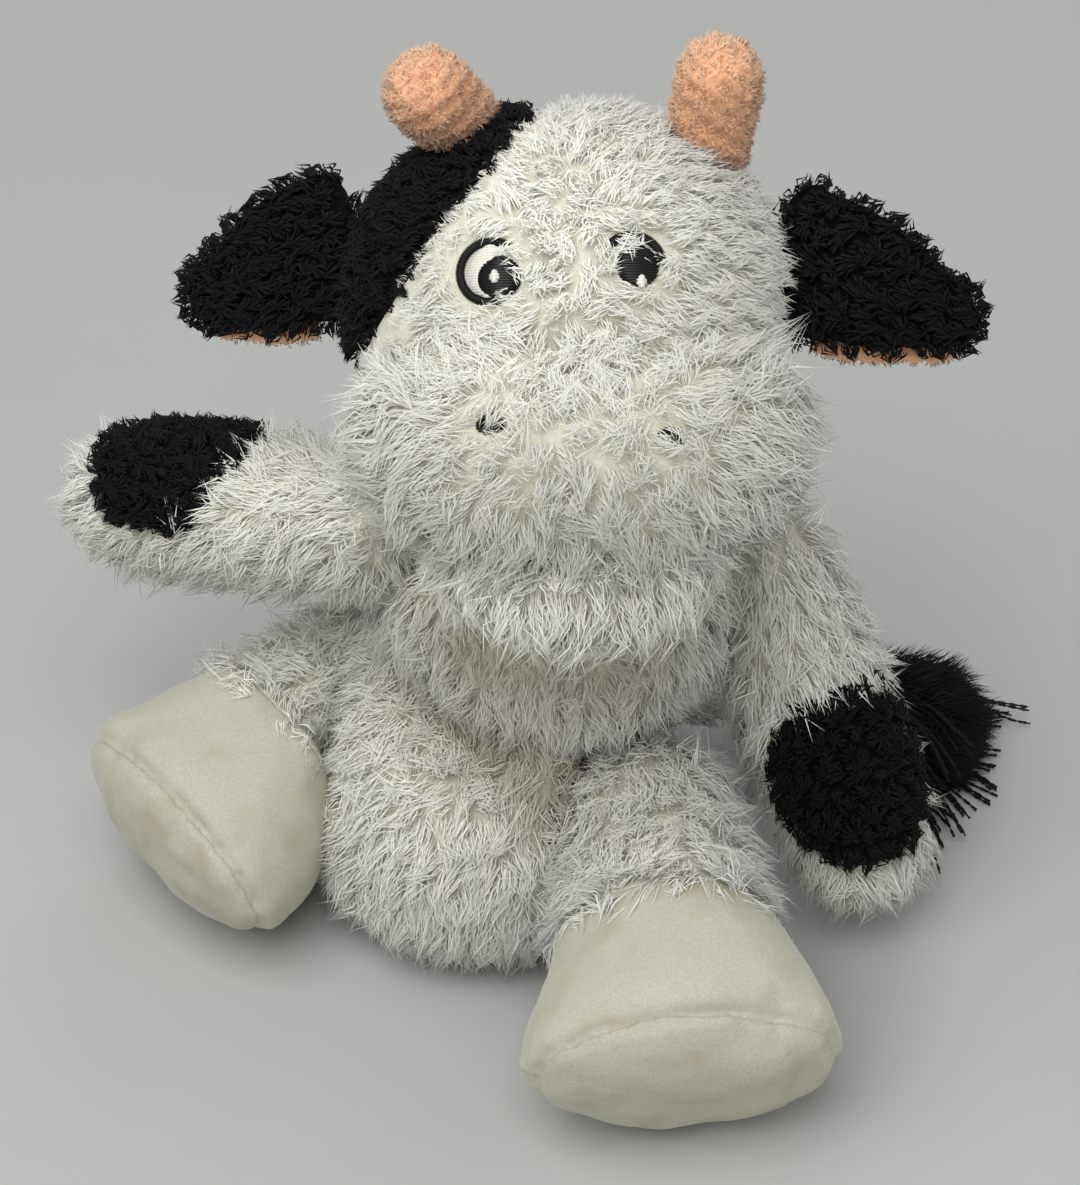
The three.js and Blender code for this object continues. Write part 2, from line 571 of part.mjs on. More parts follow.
jointGroup('tail', tailPivot, 'torso', tailAxis, rangeAngles.tail);
const stem = clearOver(stuffed(tailForm), torsoGrown(seam.ease), tailPivot, tailAxis, rangeAngles.tail)
  .add(ball(tailPivot, tail.rootRadius));
addPiece('tail_stem', stem, 'whitePile', 'tail');
addPiece('tail_tassel', stuffed(tasselForm).subtract(stuffed(tailForm, -seam.gap)).subtract(floor),
  'blackPile', 'tail');

// The part's origin is the middle of its resting face
toy.updateMatrixWorld(true);
const box = new THREE.Box3().setFromObject(toy, true);
const middle = box.getCenter(new THREE.Vector3());
toy.position.set(-middle.x, -middle.y, -box.min.z);

const part = new THREE.Group();
part.add(toy);

export default part;
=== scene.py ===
"""A small seated plush cow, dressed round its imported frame.

Every cover is a stuffed cloth skin made from the frame's solids. Its pile, fuzz, yarn and stitches
are grown on it by geometry nodes. Metres, +Z up, the face looks along -Y.
"""

import json
import logging
import math
import random
from collections.abc import Callable
from dataclasses import dataclass, field
from enum import Enum
from functools import cache, partial

import bmesh
import bpy
import numpy as np
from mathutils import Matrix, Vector, noise
from mathutils.bvhtree import BVHTree

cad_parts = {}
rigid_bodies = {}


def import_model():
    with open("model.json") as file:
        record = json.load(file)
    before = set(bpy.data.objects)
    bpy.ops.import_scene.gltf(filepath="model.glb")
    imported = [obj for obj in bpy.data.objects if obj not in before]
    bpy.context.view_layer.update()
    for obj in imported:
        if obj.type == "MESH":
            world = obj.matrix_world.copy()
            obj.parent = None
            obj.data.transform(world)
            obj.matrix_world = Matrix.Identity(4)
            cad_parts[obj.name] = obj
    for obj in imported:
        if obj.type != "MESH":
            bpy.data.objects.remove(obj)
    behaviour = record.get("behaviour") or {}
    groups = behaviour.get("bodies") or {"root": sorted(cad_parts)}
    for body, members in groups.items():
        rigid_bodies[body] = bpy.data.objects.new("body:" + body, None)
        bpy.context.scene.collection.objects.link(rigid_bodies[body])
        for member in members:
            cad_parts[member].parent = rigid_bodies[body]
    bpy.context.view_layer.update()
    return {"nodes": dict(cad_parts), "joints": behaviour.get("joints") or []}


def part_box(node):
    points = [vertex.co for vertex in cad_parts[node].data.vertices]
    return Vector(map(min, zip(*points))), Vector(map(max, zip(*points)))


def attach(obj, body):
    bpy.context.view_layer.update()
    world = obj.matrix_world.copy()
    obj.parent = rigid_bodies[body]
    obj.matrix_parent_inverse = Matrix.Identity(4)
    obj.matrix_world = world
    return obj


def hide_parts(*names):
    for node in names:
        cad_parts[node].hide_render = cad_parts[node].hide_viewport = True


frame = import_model()

LOG = logging.getLogger("plush_cow")
MM = 0.001
TINY = 1e-9
FLOOR_GAP, WELD = 0.05 * MM, 0.01 * MM
GLOW_REACH, GLOW_TINT = 1.5 * MM, (1.0, 0.95, 0.85)
Object, Tree, Socket = bpy.types.Object, bpy.types.NodeTree, bpy.types.NodeSocket
PIVOTS = {joint["child"]: Vector(joint["pos_m"]) for joint in frame["joints"]}


class Side(Enum):
    """The cow's own sides."""

    LEFT = "left"
    RIGHT = "right"


# Colour and node helpers


def linear(code: str) -> tuple[float, float, float, float]:
    """Turns an sRGB hex colour into linear RGBA.

    Args:
        code: The colour as "#rrggbb".

    Returns:
        The linear colour with full alpha.
    """
    parts = [int(code[i:i + 2], 16) / 255 for i in (1, 3, 5)]
    return (*[c / 12.92 if c <= 0.04045 else ((c + 0.055) / 1.055) ** 2.4 for c in parts], 1.0)


def add_node(tree: Tree, kind: str, settings: dict | None = None,
             inputs: dict | None = None) -> bpy.types.Node:
    """Adds a node with its settings, values and links.

    Args:
        tree: The shader or geometry tree.
        kind: The node's type name.
        settings: Node properties by name.
        inputs: Values or output sockets by input name or index.

    Returns:
        The new node.
    """
    node = tree.nodes.new(kind)
    for key, value in (settings or {}).items():
        setattr(node, key, value)
    for key, value in (inputs or {}).items():
        socket = node.inputs[key]
        if isinstance(value, Socket):
            tree.links.new(value, socket)
        else:
            socket.default_value = value
    return node


def mixed(tree: Tree, factor: Socket, first: object, second: object, kind: str = "RGBA") -> Socket:
    """Returns a mix of two colours, or of two vectors where the kind says so."""
    return add_node(tree, "ShaderNodeMix", {"data_type": kind}, {
        "Factor": factor, "A": first, "B": second}).outputs["Result"]


def maths(tree: Tree, operation: str, *values: object) -> Socket:
    """Returns what a math node makes of the values."""
    return add_node(tree, "ShaderNodeMath", {"operation": operation}, dict(enumerate(values))).outputs[0]


def vectors(tree: Tree, operation: str, first: object, second: object) -> Socket:
    """Returns what a vector math node makes of two vectors, or of a vector and a scale."""
    return add_node(tree, "ShaderNodeVectorMath", {"operation": operation}, {
        0: first, "Scale" if operation == "SCALE" else 1: second}).outputs[0]


# Finishes


@dataclass(frozen=True)
class Finish:
    """A surface finish: a name, the record's slot and the shader's plain values."""

    name: str
    slot: str
    roughness: float
    sheen: float = 0.0
    sheen_roughness: float = 0.5
    glow: float = 0.0
    gloss: float = 0.5

    @cache
    def material(self) -> bpy.types.Material:
        """Builds this finish's material, once.

        Returns:
            The material.
        """
        material = bpy.data.materials.new(self.name)
        material.use_nodes = True
        shader = material.node_tree.nodes["Principled BSDF"]
        for socket, value in (
                ("Roughness", self.roughness), ("Sheen Weight", self.sheen),
                ("Sheen Roughness", self.sheen_roughness), ("Specular IOR Level", self.gloss),
                ("Subsurface Weight", self.glow), ("Subsurface Scale", GLOW_REACH),
                ("Subsurface Radius", GLOW_TINT)):
            shader.inputs[socket].default_value = value
        self.paint(material.node_tree, shader)
        return material

    def paint(self, tree: Tree, shader: bpy.types.Node) -> None:
        """Adds the finish's own pattern to its principled shader."""


@dataclass(frozen=True)
class PileFinish(Finish):
    """Strands of pile: darker and warmer at the root as painted shade between the strands, with each lock a
    little different.
    """

    root: str = "#808080"
    tip: str = "#ffffff"
    odd: str = "#c0c0c0"
    # The colour the pile is tinted towards: real soiling and painted shade together
    soil_and_shade: str = "#808080"

    def paint(self, tree: Tree, shader: bpy.types.Node) -> None:
        """Colours each strand along its length, darker at the root as painted shade, and each lock by its own
        tone, then tints it towards the soil colour as grime and painted shade.

        Args:
            tree: The material's tree.
            shader: Its principled shader.
        """
        along, shade, grime = (add_node(tree, "ShaderNodeAttribute", {"attribute_name": name}).outputs["Fac"]
                               for name in ("along", "shade", "grime"))
        length = mixed(tree, along, linear(self.root), linear(self.tip))
        varied = mixed(tree, maths(tree, "POWER", shade, 2.0), length, linear(self.odd))
        soiled_and_shaded = mixed(tree, grime, varied, linear(self.soil_and_shade))
        tree.links.new(soiled_and_shaded, shader.inputs["Base Color"])


@dataclass(frozen=True)
class ClothFinish(Finish):
    """Cloth with a fine grain, soft blotches and a bump from the same grain."""

    base: str = "#cccccc"
    dark: str = "#999999"
    stain: str = "#999977"
    grain: float = 0.5 * MM
    blotch: float = 14 * MM
    bump: float = 0.1 * MM
    stain_share: float = 0.0
    blotch_edge: tuple[float, float] = (0.52, 0.72)
    grain_range: tuple[float, float] = (0.3, 0.7)

    def paint(self, tree: Tree, shader: bpy.types.Node) -> None:
        """Adds grain, blotches and bump.

        Args:
            tree: The material's tree.
            shader: Its principled shader.
        """
        place = add_node(tree, "ShaderNodeTexCoord").outputs["Object"]
        grain = add_node(tree, "ShaderNodeTexNoise", None, {
            "Vector": place, "Scale": 1 / self.grain, "Detail": 3.0, "Roughness": 0.6})
        blotch = add_node(tree, "ShaderNodeTexNoise", None, {
            "Vector": place, "Scale": 1 / self.blotch, "Detail": 2.0})
        edge = add_node(tree, "ShaderNodeMapRange", None, {
            "Value": blotch.outputs[0], "From Min": self.blotch_edge[0], "From Max": self.blotch_edge[1],
            "To Max": self.stain_share})
        soft = add_node(tree, "ShaderNodeMapRange", None, {
            "Value": grain.outputs[0], "From Min": self.grain_range[0], "From Max": self.grain_range[1]})
        cloth = mixed(tree, soft.outputs[0], linear(self.dark), linear(self.base))
        stained = mixed(tree, edge.outputs[0], cloth, linear(self.stain))
        raised = add_node(tree, "ShaderNodeBump", None, {
            "Height": grain.outputs[0], "Distance": self.bump, "Strength": 0.6})
        tree.links.new(stained, shader.inputs["Base Color"])
        tree.links.new(raised.outputs[0], shader.inputs["Normal"])


# Long polyester pile, brushed and silky: it glints along each lock and is painted a darker warm cream at the
# root as shade between the strands; its soil colour is grime and painted shade
WHITE_PILE = PileFinish("polyester_pile_cream", "white_pile", 0.42, 0.45, 0.4, 0.0, 0.5,
                        "#ece9da", "#f8f8f2", "#f1efe4", "#9c8f73")
# Black chenille, dull and dense: its roots are painted darker than its ends as shade, and only its raised
# ends catch any light
BLACK_PILE = PileFinish("chenille_pile_black", "black_pile", 0.75, 0.02, 0.5, 0.0, 0.18,
                        "#030304", "#101113", "#08090a", "#08090a")
# Peach chenille, fuzzy and dull: painted darker at the root as shade, so paler at the ends of its fuzz
PEACH_PILE = PileFinish("chenille_fuzz_peach", "peach_pile", 0.8, 0.2, 0.5, 0.0, 0.3,
                        "#e3aa83", "#f4c9a6", "#eabb97", "#d09a78")
# Knitted backing under cream pile: matt, a little darker than the pile
BACKING_CREAM = ClothFinish("knit_backing_cream", "white_pile", 0.9, 0.1, 0.5, 0.3, 0.3,
                            "#dfddcd", "#cdcab8", "#cdcab8", 0.8 * MM, 10 * MM, 0.2 * MM)
# Knitted backing under black pile
BACKING_BLACK = ClothFinish("knit_backing_black", "black_pile", 0.95, 0.02, 0.5, 0.0, 0.15,
                            "#0b0c0d", "#040405", "#040405", 0.8 * MM, 10 * MM, 0.2 * MM)
# Peach chenille cloth: rows of soft yarn, redder in its furrows
CHENILLE_PEACH = ClothFinish("chenille_cloth_peach", "peach_pile", 0.9, 0.2, 0.5, 0.2, 0.3,
                             "#eebd98", "#dda079", "#e0a680", 0.9 * MM, 8 * MM, 0.3 * MM, 0.4)
# Cream velour: a short sheared nap, soft at its edges, brushed paler and darker, with faint handling marks
VELOUR_CREAM = ClothFinish("velour_cream", "velour", 0.85, 0.3, 0.4, 0.1, 0.2,
                           "#c4c2b3", "#b6b3a1", "#b0a98a", 0.5 * MM, 9 * MM, 0.1 * MM, 0.5)
# The same velour on the soles, greyed by use
VELOUR_SOLE = ClothFinish("velour_worn", "sole_velour", 0.88, 0.25, 0.5, 0.0, 0.2,
                          "#c0beaf", "#b0ad9a", "#a59d7d", 0.5 * MM, 8 * MM, 0.1 * MM, 0.6)
# Rayon embroidery thread: smooth and bright along each stitch
THREAD_BLACK = ClothFinish("rayon_thread_black", "thread", 0.45, 0.0, 0.5, 0.0, 0.35,
                           "#08090b", "#040405", "#040405", 0.3 * MM, 5 * MM, 0.02 * MM)
THREAD_WHITE = ClothFinish("rayon_thread_white", "thread", 0.4, 0.0, 0.5, 0.0, 0.5,
                           "#eceae2", "#d5d2c8", "#d5d2c8", 0.3 * MM, 5 * MM, 0.02 * MM)
# Black acrylic yarn in the tassel: matt, with a faint lighter halo of loose fibre
YARN_BLACK = ClothFinish("acrylic_yarn_black", "black_pile", 0.85, 0.05, 0.5, 0.0, 0.2,
                         "#101214", "#050607", "#050607", 0.4 * MM, 6 * MM, 0.1 * MM)
# Plain pale studio floor
FLOOR_PALE = ClothFinish("paper_floor_pale", "", 0.95, 0.0, 0.5, 0.0, 0.2,
                         "#b4b5b3", "#b2b3b1", "#b0b1af", 60 * MM, 400 * MM, 0.0)


# Mesh helpers


def new_object(name: str, data: bpy.types.ID) -> Object:
    """Links a new object that stands at the origin.

    Args:
        name: The object's name.
        data: Its mesh, lamp or camera.

    Returns:
        The object.
    """
    obj = bpy.data.objects.new(name, data)
    bpy.context.scene.collection.objects.link(obj)
    return obj


def from_bmesh(name: str, bm: bmesh.types.BMesh) -> Object:
    """Makes an object from a bmesh and frees it.

    Args:
        name: The object's name.
        bm: The bmesh.

    Returns:
        The object.
    """
    mesh = bpy.data.meshes.new(name)
    bm.to_mesh(mesh)
    bm.free()
    return new_object(name, mesh)


def settle(obj: Object) -> Object:
    """Turns the object's modifiers into plain mesh.

    Args:
        obj: The object, which keeps its name.

    Returns:
        The same object.
    """
    bpy.context.view_layer.update()
    graph = bpy.context.evaluated_depsgraph_get()
    mesh = bpy.data.meshes.new_from_object(obj.evaluated_get(graph), depsgraph=graph)
    obj.modifiers.clear()
    obj.data = mesh
    mesh.name = obj.name
    return obj


def modify(obj: Object, kind: str, **settings: object) -> Object:
    """Adds a modifier and settles it.

    Args:
        obj: The object.
        kind: The modifier's type.
        settings: Its properties by name.

    Returns:
        The same object.
    """
    modifier = obj.modifiers.new(kind.lower(), kind)
    for key, value in settings.items():
        setattr(modifier, key, value)
    return settle(obj)


def rows_of(items: bpy.types.bpy_prop_collection, key: str) -> np.ndarray:
    """Reads a vector of each item.

    Args:
        items: The vertices, or an attribute's data.
        key: The vector's name.

    Returns:
        The vectors as rows.
    """
    values = np.zeros(len(items) * 3)
    items.foreach_get(key, values)
    return values.reshape(-1, 3)


def places(mesh: bpy.types.Mesh) -> np.ndarray:
    """Returns the mesh's vertex places as rows."""
    return rows_of(mesh.vertices, "co")


def outwards(mesh: bpy.types.Mesh) -> np.ndarray:
    """Returns the mesh's vertex normals as rows."""
    return rows_of(mesh.vertices, "normal")


def put(mesh: bpy.types.Mesh, values: np.ndarray) -> None:
    """Moves the mesh's vertices, none of them below the floor.

    Args:
        mesh: The mesh.
        values: New places as rows.
    """
    values[:, 2] = np.maximum(values[:, 2], FLOOR_GAP)
    mesh.vertices.foreach_set("co", values.ravel())
    mesh.update()


def store(mesh: bpy.types.Mesh, name: str, values: np.ndarray) -> None:
    """Keeps one number or vector for each vertex, under the attribute's name."""
    kind, key = ("FLOAT", "value") if values.ndim == 1 else ("FLOAT_VECTOR", "vector")
    mesh.attributes.new(name, kind, "POINT").data.foreach_set(key, values.ravel())


def unit(rows: np.ndarray) -> np.ndarray:
    """Returns the rows at length one."""
    return rows / np.maximum(np.linalg.norm(rows, axis=-1, keepdims=True), TINY)


def ramp(values: np.ndarray, low: float, high: float) -> np.ndarray:
    """Returns a smooth step from 0 at low to 1 at high."""
    t = np.clip((values - low) / (high - low), 0, 1)
    return t * t * (3 - 2 * t)


def mottle(rows: np.ndarray, size: float, seed: float = 0.0) -> np.ndarray:
    """Returns smooth noise of the given grain at each place, from about -1 to 1."""
    shift = Vector((seed, seed * 1.7, seed * 2.3))
    return np.array([noise.noise(Vector(row) / size + shift) for row in rows])


def merged(nodes: list[str]) -> bmesh.types.BMesh:
    """Copies CAD nodes into one mesh with its loose triangles joined.

    Args:
        nodes: The nodes' names.

    Returns:
        The bmesh.
    """
    bm = bmesh.new()
    for node in nodes:
        bm.from_mesh(frame["nodes"][node].data)
    bmesh.ops.remove_doubles(bm, verts=bm.verts, dist=WELD)
    return bm


def surface(nodes: list[str]) -> BVHTree:
    """Makes a search tree over CAD nodes' faces.

    Args:
        nodes: The nodes' names.

    Returns:
        The tree.
    """
    bm = merged(nodes)
    tree = BVHTree.FromBMesh(bm)
    bm.free()
    return tree


def distances(tree: BVHTree, rows: np.ndarray) -> np.ndarray:
    """Returns each place's distance to the tree's faces."""
    return np.array([tree.find_nearest(Vector(row))[3] for row in rows])


def flat_plane(node: str) -> tuple[np.ndarray, float]:
    """Finds the plane of a node's largest flat face.

    Args:
        node: The CAD node.

    Returns:
        The face's normal and its offset along that normal.
    """
    mesh = frame["nodes"][node].data
    areas: dict[tuple, list] = {}
    for polygon in mesh.polygons:
        key = tuple(round(c, 2) for c in polygon.normal)
        entry = areas.setdefault(key, [0.0, polygon])
        entry[0] += polygon.area
    _, face = max(areas.values(), key=lambda entry: entry[0])
    normal = np.array(face.normal)
    return normal, float(normal @ np.array(face.center))


def middle(node: str) -> Vector:
    """Returns the middle of a CAD node's box."""
    low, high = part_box(node)
    return (low + high) / 2


def axis_of(node: str, body: str) -> np.ndarray:
    """Returns the direction from a body's pivot to the middle of a CAD node."""
    return unit(np.array(middle(node) - PIVOTS[body]))


def cut_away(obj: Object, name: str, normal: np.ndarray, offset: float) -> Object:
    """Cuts a closed skin in two at a plane, and closes both.

    Args:
        obj: The skin, which keeps the side behind the plane.
        name: The new piece's name.
        normal: The plane's normal.
        offset: The plane's offset along it.

    Returns:
        The new piece, in front of the plane.
    """
    other = new_object(name, obj.data.copy())
    for piece, inner in ((obj, False), (other, True)):
        bm = bmesh.new()
        bm.from_mesh(piece.data)
        geometry = bm.verts[:] + bm.edges[:] + bm.faces[:]
        cut = bmesh.ops.bisect_plane(bm, geom=geometry, plane_co=Vector(normal) * offset,
                                     plane_no=Vector(normal), clear_outer=not inner, clear_inner=inner)
        rim = [g for g in cut["geom_cut"] if isinstance(g, bmesh.types.BMEdge)]
        bmesh.ops.edgeloop_fill(bm, edges=rim)
        bmesh.ops.triangulate(bm, faces=[f for f in bm.faces if len(f.verts) > 4])
        bmesh.ops.recalc_face_normals(bm, faces=bm.faces)
        bm.to_mesh(piece.data)
        bm.free()
    return other


def finish_piece(obj: Object, finish: Finish, body: str, replaced: list[str] | None = None) -> Object:
    """Gives a piece its material, and joins it to its body.

    Args:
        obj: The piece.
        finish: Its finish.
        body: The CAD body that carries it.
        replaced: CAD nodes that it stands for.

    Returns:
        The same piece.
    """
    obj.data.materials.clear()
    obj.data.materials.append(finish.material())
    obj.data.polygons.foreach_set("use_smooth", [True] * len(obj.data.polygons))
    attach(obj, body)
    if replaced:
        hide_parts(*replaced)
    LOG.info("%s on %s: %d faces", obj.name, body, len(obj.data.polygons))
    return obj


# Stuffed skins


@dataclass(frozen=True)
class Stuffing:
    """How a sewn cover swells over its filling."""

    voxel: float = 2.4 * MM
    smoothing: int = 6
    pressure: float = 4.0
    slack: float = 0.04
    cap: float = 1.8 * MM
    scale: float = 10.0
    frames: int = 20
    inset: float = 2.4 * MM
    bending: float = 0.3
    floor_fade: tuple[float, float] = (0.3 * MM, 5 * MM)
    seam_fade: tuple[float, float] = (0.8 * MM, 6 * MM)

    def skin(self, name: str, nodes: list[str], sewn_to: list[str] | None = None,
             keep: Callable | None = None) -> Object:
        """Makes a cover's skin from its CAD solids.

        Args:
            name: The skin's name.
            nodes: The CAD solids that fill its space.
            sewn_to: CAD nodes on the same body that it meets, where it keeps its place.
            keep: Gives the share of the inset to leave off at each place.

        Returns:
            The skin, as one closed mesh.
        """
        obj = from_bmesh(name, merged(nodes))
        modify(obj, "REMESH", mode="VOXEL", voxel_size=self.voxel)
        modify(obj, "SMOOTH", factor=0.5, iterations=self.smoothing)
        self.blow_up(obj)
        modify(obj, "SUBSURF", levels=1, render_levels=1)
        rows = places(obj.data)
        share = ramp(rows[:, 2], *self.floor_fade)
        if sewn_to:
            share *= ramp(distances(surface(sewn_to), rows), *self.seam_fade)
        if keep:
            share *= 1 - keep(rows)
        put(obj.data, rows - outwards(obj.data) * (share * self.inset)[:, None])
        return obj

    def blow_up(self, obj: Object) -> None:
        """Swells the skin as cloth under pressure, at ten times its size for the solver.

        Args:
            obj: The remeshed skin.
        """
        rest = places(obj.data)
        obj.data.vertices.foreach_set("co", (rest * self.scale).ravel())
        obj.data.update()
        modifier = obj.modifiers.new("cloth", "CLOTH")
        cloth = modifier.settings
        cloth.use_pressure = True
        cloth.uniform_pressure_force = self.pressure
        cloth.effector_weights.gravity = 0
        cloth.shrink_min = -self.slack
        cloth.bending_stiffness = self.bending
        modifier.point_cache.frame_start = 1
        modifier.point_cache.frame_end = self.frames
        for step in range(1, self.frames + 1):
            bpy.context.scene.frame_set(step)
        settle(obj)
        bpy.context.scene.frame_set(1)
        moved = places(obj.data) / self.scale - rest
        far = np.linalg.norm(moved, axis=1, keepdims=True)
        put(obj.data, rest + moved * np.minimum(1, self.cap / np.maximum(far, TINY)))


# Broad and fine swirls in how the pile lies: grain, strength and seeds of each
UNEVEN_LIE = ((9 * MM, 0.5, (1.3, 5.9, 8.2)), (3.2 * MM, 1.1, (2.7, 4.1, 9.6)))

# How much of the skin's own normal the pile keeps where it faces away from a core
OWN_NAP = 0.4


def comb(obj: Object, flow: Callable, pile: np.ndarray | None = None,
         core: Vector | None = None, grime: np.ndarray | None = None) -> None:
    """Keeps on the skin which way its pile lies and faces, and how much of its length it has.

    Args:
        obj: The skin.
        flow: Gives a direction for each place and normal.
        pile: The share of the full length at each vertex.
        core: A point that the pile faces away from, where the skin folds in at a seam.
        grime: How far the pile is tinted towards its soil colour at each vertex, as real grime and painted
            shade.
    """
    rows, out = places(obj.data), outwards(obj.data)
    wanted = flow(rows, out)
    for grain, strength, seeds in UNEVEN_LIE:
        wanted = wanted + strength * np.stack([mottle(rows, grain, seed) for seed in seeds], axis=1)
    lying = wanted - out * np.sum(wanted * out, axis=1, keepdims=True)
    store(obj.data, "comb", unit(lying) * np.minimum(1, np.linalg.norm(wanted, axis=1))[:, None])
    store(obj.data, "pile", np.ones(len(rows)) if pile is None else pile)
    store(obj.data, "grime", np.zeros(len(rows)) if grime is None else grime)
    store(obj.data, "nap", out if core is None else unit(OWN_NAP * out + unit(rows - np.array(core))))


# Geometry node trees


def new_tree(name: str, **sockets: tuple[str, ...]) -> tuple[Tree, dict[str, Socket]]:
    """Makes a geometry tree with named inputs.

    Args:
        name: The tree's name.
        sockets: The inputs' names by the kind of socket.

    Returns:
        The tree and its inputs.
    """
    tree = bpy.data.node_groups.new(name, "GeometryNodeTree")
    for way in ("INPUT", "OUTPUT"):
        tree.interface.new_socket("Geometry", in_out=way, socket_type="NodeSocketGeometry")
    for kind, labels in sockets.items():
        for label in labels:
            tree.interface.new_socket(label, in_out="INPUT", socket_type=f"NodeSocket{kind}")
    return tree, {socket.name: socket for socket in tree.nodes.new("NodeGroupInput").outputs}


def close_tree(tree: Tree, geometry: Socket, finish: Socket) -> Tree:
    """Gives the geometry its finish and links it to the tree's output.

    Args:
        tree: The tree.
        geometry: What it made.
        finish: The finish's input.

    Returns:
        The same tree.
    """
    real = add_node(tree, "GeometryNodeRealizeInstances", None, {"Geometry": geometry})
    done = add_node(tree, "GeometryNodeSetMaterial", None, {
        "Geometry": real.outputs[0], "Material": finish})
    tree.links.new(done.outputs[0], tree.nodes.new("NodeGroupOutput").inputs[0])
    return tree


def named(tree: Tree, name: str, kind: str = "FLOAT") -> Socket:
    """Returns the socket that reads a named attribute."""
    return add_node(tree, "GeometryNodeInputNamedAttribute", {"data_type": kind}, {"Name": name}).outputs[0]


def compared(tree: Tree, operation: str, first: Socket, second: object) -> Socket:
    """Returns the socket that says whether two numbers compare as asked."""
    return add_node(tree, "FunctionNodeCompare", {"operation": operation}, {
        "A": first, "B": second}).outputs[0]


def random_vector(tree: Tree, reach: float, seed: object) -> Socket:
    """Returns a random vector whose parts go from minus to plus the reach."""
    return add_node(tree, "FunctionNodeRandomValue", {"data_type": "FLOAT_VECTOR"}, {
        "Min": (-reach,) * 3, "Max": (reach,) * 3, "Seed": seed}).outputs[0]


def run_tree(obj: Object, tree: Tree, values: dict, name: str) -> Object:
    """Runs a geometry tree on an object and keeps the result as a plain mesh.

    Args:
        obj: The object that carries the guides.
        tree: The tree.
        values: The inputs by name.
        name: The new piece's name.

    Returns:
        The new piece.
    """
    modifier = obj.modifiers.new("nodes", "NODES")
    modifier.node_group = tree
    keys = {item.name: item.identifier for item in tree.interface.items_tree
            if item.item_type == "SOCKET" and item.in_out == "INPUT"}
    for label, value in values.items():
        modifier[keys[label]] = value
    obj.update_tag()
    bpy.context.view_layer.update()
    graph = bpy.context.evaluated_depsgraph_get()
    mesh = bpy.data.meshes.new_from_object(obj.evaluated_get(graph), depsgraph=graph)
    obj.modifiers.remove(modifier)
    mesh.name = name
    return new_object(name, mesh)


# Seeds that keep the pile's random draws apart, then the most locks to a square metre
LOCK_SEED, LOCK_TIP_SEED, STRAND_TIP_SEED, BOW_SEED, LENGTH_SEED, SHADE_SEED = 7, 31, 57, 91, 12, 3
MOST_LOCKS = 4e6
# The least share of length that grows a strand, how far strands bow aside, how unevenly long they are,
# and how far they still rise or sink where the floor presses them
BARE, BOW, UNEVEN, PRESSED = 0.04, 0.7, (0.7, 1.15), 0.05
YARN_STEP, PLY_SIDES = 1.1 * MM, 5


